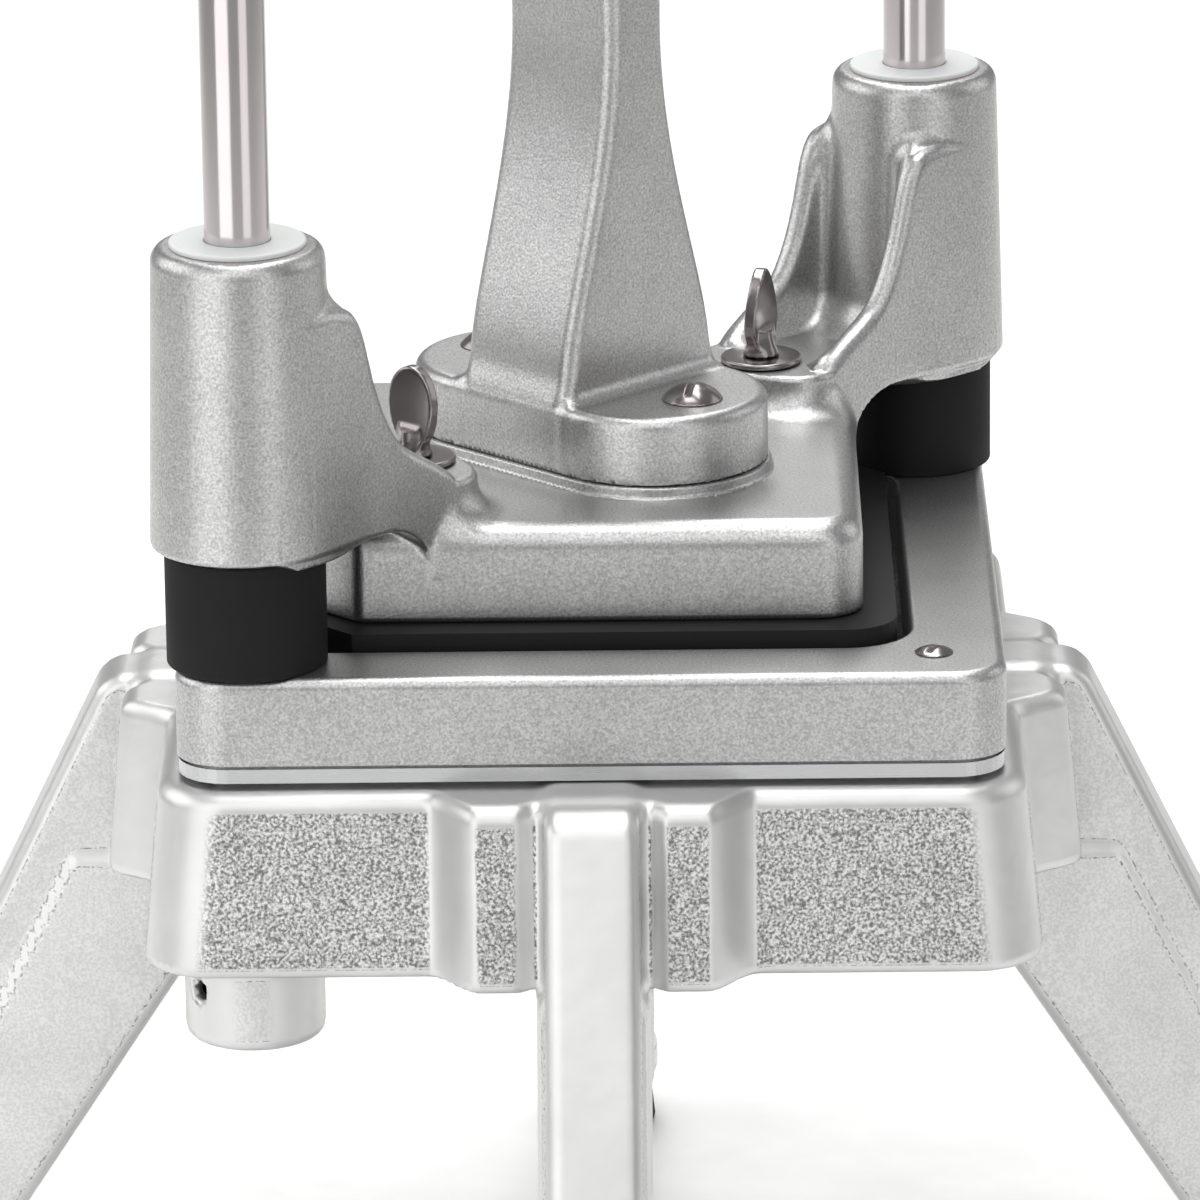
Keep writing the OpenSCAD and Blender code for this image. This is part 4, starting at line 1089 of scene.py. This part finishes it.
class DICER_OT_pusher(BuildOperator, bpy.types.Operator):
    """Build the pusher casting with its arms and rod bosses"""
    bl_idname = "dicer.pusher"
    bl_label = "Pusher casting"

    def execute(self, context):
        s, h = in_mm(context.scene.dicer_pusher), in_mm(context.scene.dicer_handle)
        reach = LEVEL.rod_xy + s.boss + s.boss_draft + MARGIN
        mesh = cast("pusher_casting", pusher_field(s, h),
                    (-reach, -reach, LEVEL.block - MARGIN),
                    (reach, reach, LEVEL.boss_top + MARGIN), CASTING_GRID)
        place("pusher_casting", mesh, finishes(context)["fine_cast_aluminium"], "pusher")
        return {"FINISHED"}


class DICER_OT_handle(BuildOperator, bpy.types.Operator):
    """Build the handle casting with its foot, column and grip"""
    bl_idname = "dicer.handle"
    bl_label = "Handle casting"

    def execute(self, context):
        s = in_mm(context.scene.dicer_handle)
        reach = s.grip_half / math.sqrt(2) + s.grip
        mesh = cast("handle", handle_field(s), (-reach, -reach, LEVEL.seat - MARGIN),
                    (reach, reach, LEVEL.grip_top + MARGIN), CASTING_GRID)
        place("handle", mesh, finishes(context)["fine_cast_aluminium"], "pusher")
        return {"FINISHED"}


def square_loop(half, radius, z, steps=10):
    """Loop of a square with round corners, at a height."""
    turn = np.radians(np.linspace(0, 90, steps + 1))
    quarter = np.stack([half - radius + radius * np.cos(turn),
                        half - radius + radius * np.sin(turn)], 1)
    loop = np.concatenate([quarter @ np.array([[c, s], [-s, c]])
                           for c, s in ((1, 0), (0, 1), (-1, 0), (0, -1))])
    return np.column_stack([loop, np.full(len(loop), float(z))])


class DICER_OT_frame(BuildOperator, bpy.types.Operator):
    """Build the upper frame with its rounded edges and square mouth"""
    bl_idname = "dicer.frame"
    bl_label = "Upper frame"

    def execute(self, context):
        s = in_mm(context.scene.dicer_frame)
        half, low, top = LEVEL.frame_half, LEVEL.frame, LEVEL.top
        line = low + s.line_height
        section = rounded_ring([
            (s.mouth_half, low, 0), (half - s.line_depth, low, CRISP),
            (half - s.line_depth, line, CRISP), (half, line, FRAME.line_edge),
            (half, top, s.edge), (s.mouth_half, top, s.mouth_edge)])
        loops = []
        for x, z in section:
            # The corners of a loop go from the mouth's to the outer ones, less its inset
            t = (x - s.mouth_half) / (half - s.mouth_half)
            inset = half - x if t > 0.5 else s.mouth_half - x
            corner = s.mouth_corner * (1 - t) + s.corner * t - inset
            loops.append(square_loop(x, max(corner, FRAME.least_corner), z))
        place("upper_frame", loops_mesh("upper_frame", loops, True),
              finishes(context)["fine_cast_aluminium_frame"], "stand", flat=True)
        return {"FINISHED"}


class DICER_OT_blades(BuildOperator, bpy.types.Operator):
    """Finish the blade plate and the crossing blades"""
    bl_idname = "dicer.blades"
    bl_label = "Blades"

    def execute(self, context):
        for node in ("blade_plate", "blades_across", "blades_deep"):
            dress(node, finishes(context)["ground_stainless_steel"])
        return {"FINISHED"}


class DICER_OT_rods(BuildOperator, bpy.types.Operator):
    """Build the guide rods and their bumpers, and finish the grub screws"""
    bl_idname = "dicer.rods"
    bl_label = "Rods and bumpers"

    def execute(self, context):
        d, materials = TURNED, finishes(context)
        r, low, high = LEVEL.rod_radius, LEVEL.rod_low, LEVEL.rod_high
        # Sections: radius, height and rounding of each corner
        rod = rounded([(0, low, 0), (r, low, d.rod_low), (r, high, d.rod_top), (0, high, 0)])
        hole, rim = r + d.bumper_gap, LEVEL.bumper_radius
        bumper = rounded_ring([
            (hole, LEVEL.top, 0), (rim, LEVEL.top, d.bumper_low),
            (rim, LEVEL.bumper, d.bumper_rim), (hole, LEVEL.bumper, d.bumper_hole)])
        for end, side in ENDS:
            place(f"rod_{end}", lathe("rod", rod, side * LEVEL.rod_xy),
                  materials["polished_stainless_steel"], "stand")
            place(f"bumper_{end}", lathe("bumper", bumper, side * LEVEL.rod_xy, WIDE),
                  materials["moulded_black_rubber"], "stand")
        dress("rod_grub_screws", materials["black_oxide_steel"])
        return {"FINISHED"}


class DICER_OT_bushes(BuildOperator, bpy.types.Operator):
    """Build the nylon bushes in the rod bosses"""
    bl_idname = "dicer.bushes"
    bl_label = "Bushes"

    def execute(self, context):
        d, material = TURNED, finishes(context)["turned_natural_nylon"]
        hole, sleeve, flange = (LEVEL.rod_radius + d.bush_gap, LEVEL.sleeve_radius,
                                LEVEL.bush_radius)
        seat, top, low = LEVEL.boss_top, LEVEL.bush_top, LEVEL.boss
        # Sections: radius, height and rounding of each corner
        profiles = {
            "upper": rounded_ring([
                (hole, seat - LEVEL.sleeve, 0), (sleeve, seat - LEVEL.sleeve, d.bush_end),
                (sleeve, seat, CRISP), (flange, seat, d.bush_seat),
                (flange, top, d.bush_rim), (hole, top, d.bush_hole)]),
            "lower": rounded_ring([
                (hole, low, 0), (sleeve, low, d.bush_end),
                (sleeve, low + LEVEL.sleeve, d.bush_end),
                (hole, low + LEVEL.sleeve, d.bush_hole)]),
        }
        for end, side in ENDS:
            for part, profile in profiles.items():
                place(f"bush_{end}_{part}",
                      lathe("bush", profile, side * LEVEL.rod_xy, WIDE), material, "pusher")
        return {"FINISHED"}


class DICER_OT_push_block(BuildOperator, bpy.types.Operator):
    """Finish the fingered push block and its inserts"""
    bl_idname = "dicer.push_block"
    bl_label = "Push block"

    def execute(self, context):
        dress("push_block", finishes(context)["moulded_black_nylon"])
        dress("push_block_inserts", finishes(context)["turned_brass"])
        return {"FINISHED"}


def screw_field(radius, height, length, turn):
    """Domed screw head with a slot, on its shank, with its seat at zero height."""
    d = SCREW
    dome = (radius ** 2 + height ** 2) / (2 * height)
    c, s = math.cos(turn), math.sin(turn)

    def field(x, y, z):
        ball = np.sqrt(x * x + y * y + (z - height + dome) ** 2) - dome
        slot = both(np.abs(x * s - y * c) - d.slot / 2, height * d.slot_level - z,
                    d.slot_corner)
        head = cut(both(ball, -z, d.rim), slot, d.slot_edge)
        shank = slab(np.hypot(x, y) - d.shank, z, -length, d.sunk, d.shank_edge, d.shank_end)
        return np.minimum(head, shank)

    return field


def field_at(field, x0, y0, z0):
    """A field moved to a place."""
    return lambda x, y, z: field(x - x0, y - y0, z - z0)


class DICER_OT_screws(BuildOperator, bpy.types.Operator):
    """Build the slotted screws of the handle and the upper frame, and finish the rest"""
    bl_idname = "dicer.screws"
    bl_label = "Screws"

    def execute(self, context):
        material = finishes(context)["barrel_polished_steel"]
        h = in_mm(context.scene.dicer_handle)
        # Node, body, radius and height of the head, level of its seat, x and y, slot's turn
        screws = (
            ("handle_screws", "pusher", h.screw_head, h.screw_dome,
             LEVEL.seat + h.foot_height, h.screw_reach / math.sqrt(2), SCREW.handle_turn),
            ("frame_screws", "stand", SCREW.frame_head, SCREW.frame_dome, LEVEL.top,
             LEVEL.rod_xy, SCREW.frame_turn))
        for node, body, radius, height, seat, reach, turn in screws:
            length = seat - box_mm(node)[0][2]
            wide = radius + SCREW.room
            meshes = []
            for side in (-1, 1):
                # The two slots stand a radian to either side of their turn
                field = screw_field(radius, height, length, turn + side)
                at = np.array((side * reach, -side * reach, seat))
                low = at - [wide, wide, length + SCREW.room]
                high = at + [wide, wide, SCREW.room] + [0, 0, height]
                meshes.append(cast(node, field_at(field, *at), low, high, SCREW_GRID))
            place(node, joined(node, meshes), material, body)
        dress("foot_screws", material)
        return {"FINISHED"}


def thumb_field(turn, twist, shank_low, wing_high):
    """Thumb screw: twisted oval wing, flared neck and shank, from its seat upwards."""
    d = THUMB
    middle, half = (d.wing_low + wing_high) / 2, (wing_high - d.wing_low) / 2

    def field(x, y, z):
        angle = turn + twist * (z - d.wing_low) / (wing_high - d.wing_low)
        c, s = np.cos(angle), np.sin(angle)
        across, through = x * c + y * s, y * c - x * s
        disc = ellipse(across, z - middle, d.wing_half, half)
        dished = 1 - (across / d.wing_half) ** 2 - ((z - middle) / d.dish_half) ** 2
        thick = d.thick - d.dish * np.clip(dished, 0, 1)
        wing = both(disc, np.abs(through) - thick, d.wing_edge)
        neck = polygon(np.hypot(x, y), z, THUMB_NECK)
        shank = np.maximum(np.hypot(x, y) - d.shank, np.maximum(z - d.sunk, shank_low - z))
        return np.minimum(join(wing, neck, d.neck_fillet), shank)

    return field


class DICER_OT_thumb_screws(BuildOperator, bpy.types.Operator):
    """Build the thumb screws and their washers"""
    bl_idname = "dicer.thumb_screws"
    bl_label = "Thumb screws"

    def execute(self, context):
        d, material = THUMB, finishes(context)["barrel_polished_steel"]
        low, high, rim = LEVEL.washer_low, LEVEL.washer_top, LEVEL.washer_radius
        # Section: radius, height and rounding of each corner
        washer = rounded_ring([
            (d.washer_hole, low, 0), (rim, low, TURNED.washer_low),
            (rim, high, TURNED.washer_rim), (d.washer_hole, high, TURNED.washer_hole)])
        seat = high + d.lift
        for end, side in ENDS:
            bottom, top = box_mm(f"thumb_screw_{end}")
            at = side * LEVEL.thumb_xy
            field = thumb_field(*THUMB_TURNS[end], bottom[2] - seat, top[2] - seat)
            mesh = cast("thumb_screw", field_at(field, at, at, seat),
                        (at - d.reach, at - d.reach, bottom[2] - d.room),
                        (at + d.reach, at + d.reach, top[2] + d.room), THUMB_GRID)
            place(f"thumb_screw_{end}", mesh, material, f"thumb_{end}_screw")
            place(f"thumb_washer_{end}", lathe("washer", washer, at, SMALL), material,
                  f"thumb_{end}_washer")
        return {"FINISHED"}


class DICER_OT_feet(BuildOperator, bpy.types.Operator):
    """Finish the rubber feet"""
    bl_idname = "dicer.feet"
    bl_label = "Feet"

    def execute(self, context):
        for name in ("front", "right", "rear", "left"):
            dress(f"foot_{name}", finishes(context)["moulded_black_rubber"])
        return {"FINISHED"}


# Stage

# Plain soft studio light: place and aim of each softbox, its width and height in
# millimetres, the brightness of its face and the spread of its grid in degrees
SOFTBOXES = (
    ("left", (-540, -740, 500), (0, 0, 500), 700, 1000, 1.25, 180),
    ("right", (500, -770, 500), (0, 0, 500), 440, 1000, 0.8, 180),
    ("left_side", (-1000, 100, 700), (0, 0, 250), 1100, 800, 1.55, 180),
    ("right_side", (1000, 300, 600), (0, 0, 250), 800, 800, 0.75, 180),
    ("front", (0, -1250, 860), (0, 0, 150), 900, 460, 1, 180),
    ("high", (0, -900, 1250), (0, 0, 100), 900, 300, 2.7, 90),
    ("top", (0, -50, 1250), (0, 0, 0), 700, 700, 3.4, 180),
    ("rear", (0, 750, 1100), (0, 750, 0), 500, 1200, 4.2, 180),
    ("backdrop", (0, 2300, 1600), (0, 2300, 0), 2400, 1800, 5, 90),
)
# Brightness of the room round the softboxes
ROOM_LIGHT = 0.3
# Half width of the floor, and the nearest and farthest that the camera sees, in metres
FLOOR_HALF, NEAREST, FARTHEST = 12, 0.01, 60
# Width of the camera's sensor, in millimetres
SENSOR = 36


def softbox(name, place_mm, aim_mm, width, height, brightness, spread):
    """A soft rectangular light, as bright as its face is seen straight on."""
    data = bpy.data.lights.new(name, "AREA")
    data.shape = "RECTANGLE"
    data.size, data.size_y = width * MM, height * MM
    data.spread = math.radians(spread)
    data.energy = brightness * math.pi * data.size * data.size_y
    if spread < 180:
        # A grid takes away the light that leaves at a slant
        wide = math.tan(data.spread / 2)
        data.energy *= (wide - data.spread / 2) / wide
    light = bpy.data.objects.new(name, data)
    bpy.context.scene.collection.objects.link(light)
    light.location = Vector(place_mm) * MM
    light.visible_camera = False
    light.rotation_euler = (Vector(aim_mm) - Vector(place_mm)).to_track_quat("-Z", "Y").to_euler()


def set_camera(scene, s):
    """The camera of the photograph, which looks at its target from a distance."""
    camera = bpy.data.cameras.new("camera")
    camera.lens, camera.sensor_width = s.focal, SENSOR
    camera.clip_start, camera.clip_end = NEAREST, FARTHEST
    viewer = bpy.data.objects.new("camera", camera)
    scene.collection.objects.link(viewer)
    back = Vector((math.sin(s.yaw) * math.cos(s.elevation),
                   -math.cos(s.yaw) * math.cos(s.elevation), math.sin(s.elevation)))
    right = Vector((math.cos(s.yaw), math.sin(s.yaw), 0))
    up = back.cross(right)
    rolled = math.cos(s.roll) * right - math.sin(s.roll) * up
    upward = math.sin(s.roll) * right + math.cos(s.roll) * up
    turn = Matrix((rolled, upward, back)).transposed().to_4x4()
    viewer.matrix_world = Matrix.Translation(Vector(s.target) + back * s.distance) @ turn
    scene.camera = viewer


def lay_floor(scene):
    """The plain pale floor, painted and matt, so that it shows no reflections. The grain of
    its paint is drawn 3 mm wide: the real one is too fine to show."""
    mesh = bpy.data.meshes.new("floor")
    h = FLOOR_HALF
    mesh.from_pydata([(-h, -h, 0), (h, -h, 0), (h, h, 0), (-h, h, 0)], [], [(0, 1, 2, 3)])
    floor = bpy.data.objects.new("floor", mesh)
    scene.collection.objects.link(floor)
    mesh.materials.append(moulded("matt_floor", scene.dicer_finish.floor, roughness=0.85,
                                  grain=3, depth=0.01))


class DICER_OT_stage(BuildOperator, bpy.types.Operator):
    """Build the floor, the lights and the camera of the photograph"""
    bl_idname = "dicer.stage"
    bl_label = "Stage"

    def execute(self, context):
        scene = context.scene
        set_camera(scene, scene.dicer_stage)
        lay_floor(scene)
        for name, *details in SOFTBOXES:
            softbox(f"{name}_softbox", *details)
        scene.world = bpy.data.worlds.new("studio")
        scene.world.use_nodes = True
        tree = scene.world.node_tree
        tree.nodes.clear()
        background = add(tree, "ShaderNodeBackground",
                         {"Color": (1, 1, 1, 1), "Strength": ROOM_LIGHT})
        add(tree, "ShaderNodeOutputWorld", links={"Surface": background.outputs[0]})
        scene.view_settings.view_transform = "Standard"
        return {"FINISHED"}


class DICER_PT_panel(bpy.types.Panel):
    """Lists the operators that build the dicer"""
    bl_idname = "DICER_PT_panel"
    bl_label = "Vegetable dicer"
    bl_space_type = "VIEW_3D"
    bl_region_type = "UI"
    bl_category = "Dicer"

    def draw(self, context):
        for operator in OPERATORS:
            self.layout.operator(operator.bl_idname)
        for name in SETTINGS:
            group = getattr(context.scene, name)
            box = self.layout.box()
            for key in group.__annotations__:
                box.prop(group, key)


SETTINGS = {
    "dicer_base": DicerBaseSettings, "dicer_frame": DicerFrameSettings,
    "dicer_pusher": DicerPusherSettings, "dicer_handle": DicerHandleSettings,
    "dicer_finish": DicerFinishSettings, "dicer_stage": DicerStageSettings,
}
OPERATORS = [
    DICER_OT_stage, DICER_OT_base, DICER_OT_frame, DICER_OT_blades, DICER_OT_rods,
    DICER_OT_pusher, DICER_OT_bushes, DICER_OT_push_block, DICER_OT_handle,
    DICER_OT_screws, DICER_OT_thumb_screws, DICER_OT_feet,
]


def register():
    """Registers the settings, operators and panel."""
    for name, group in SETTINGS.items():
        bpy.utils.register_class(group)
        setattr(bpy.types.Scene, name, PointerProperty(type=group))
    for cls in OPERATORS + [DICER_PT_panel]:
        bpy.utils.register_class(cls)


def unregister():
    """Removes the settings, operators and panel."""
    for cls in [DICER_PT_panel] + OPERATORS[::-1]:
        bpy.utils.unregister_class(cls)
    for name, group in SETTINGS.items():
        delattr(bpy.types.Scene, name)
        bpy.utils.unregister_class(group)


def main():
    """Builds the scene."""
    register()
    bpy.ops.dicer.stage()
    bpy.ops.dicer.base()
    bpy.ops.dicer.frame()
    bpy.ops.dicer.blades()
    bpy.ops.dicer.rods()
    bpy.ops.dicer.pusher()
    bpy.ops.dicer.bushes()
    bpy.ops.dicer.push_block()
    bpy.ops.dicer.handle()
    bpy.ops.dicer.screws()
    bpy.ops.dicer.thumb_screws()
    bpy.ops.dicer.feet()


if __name__ == "__main__":
    main()
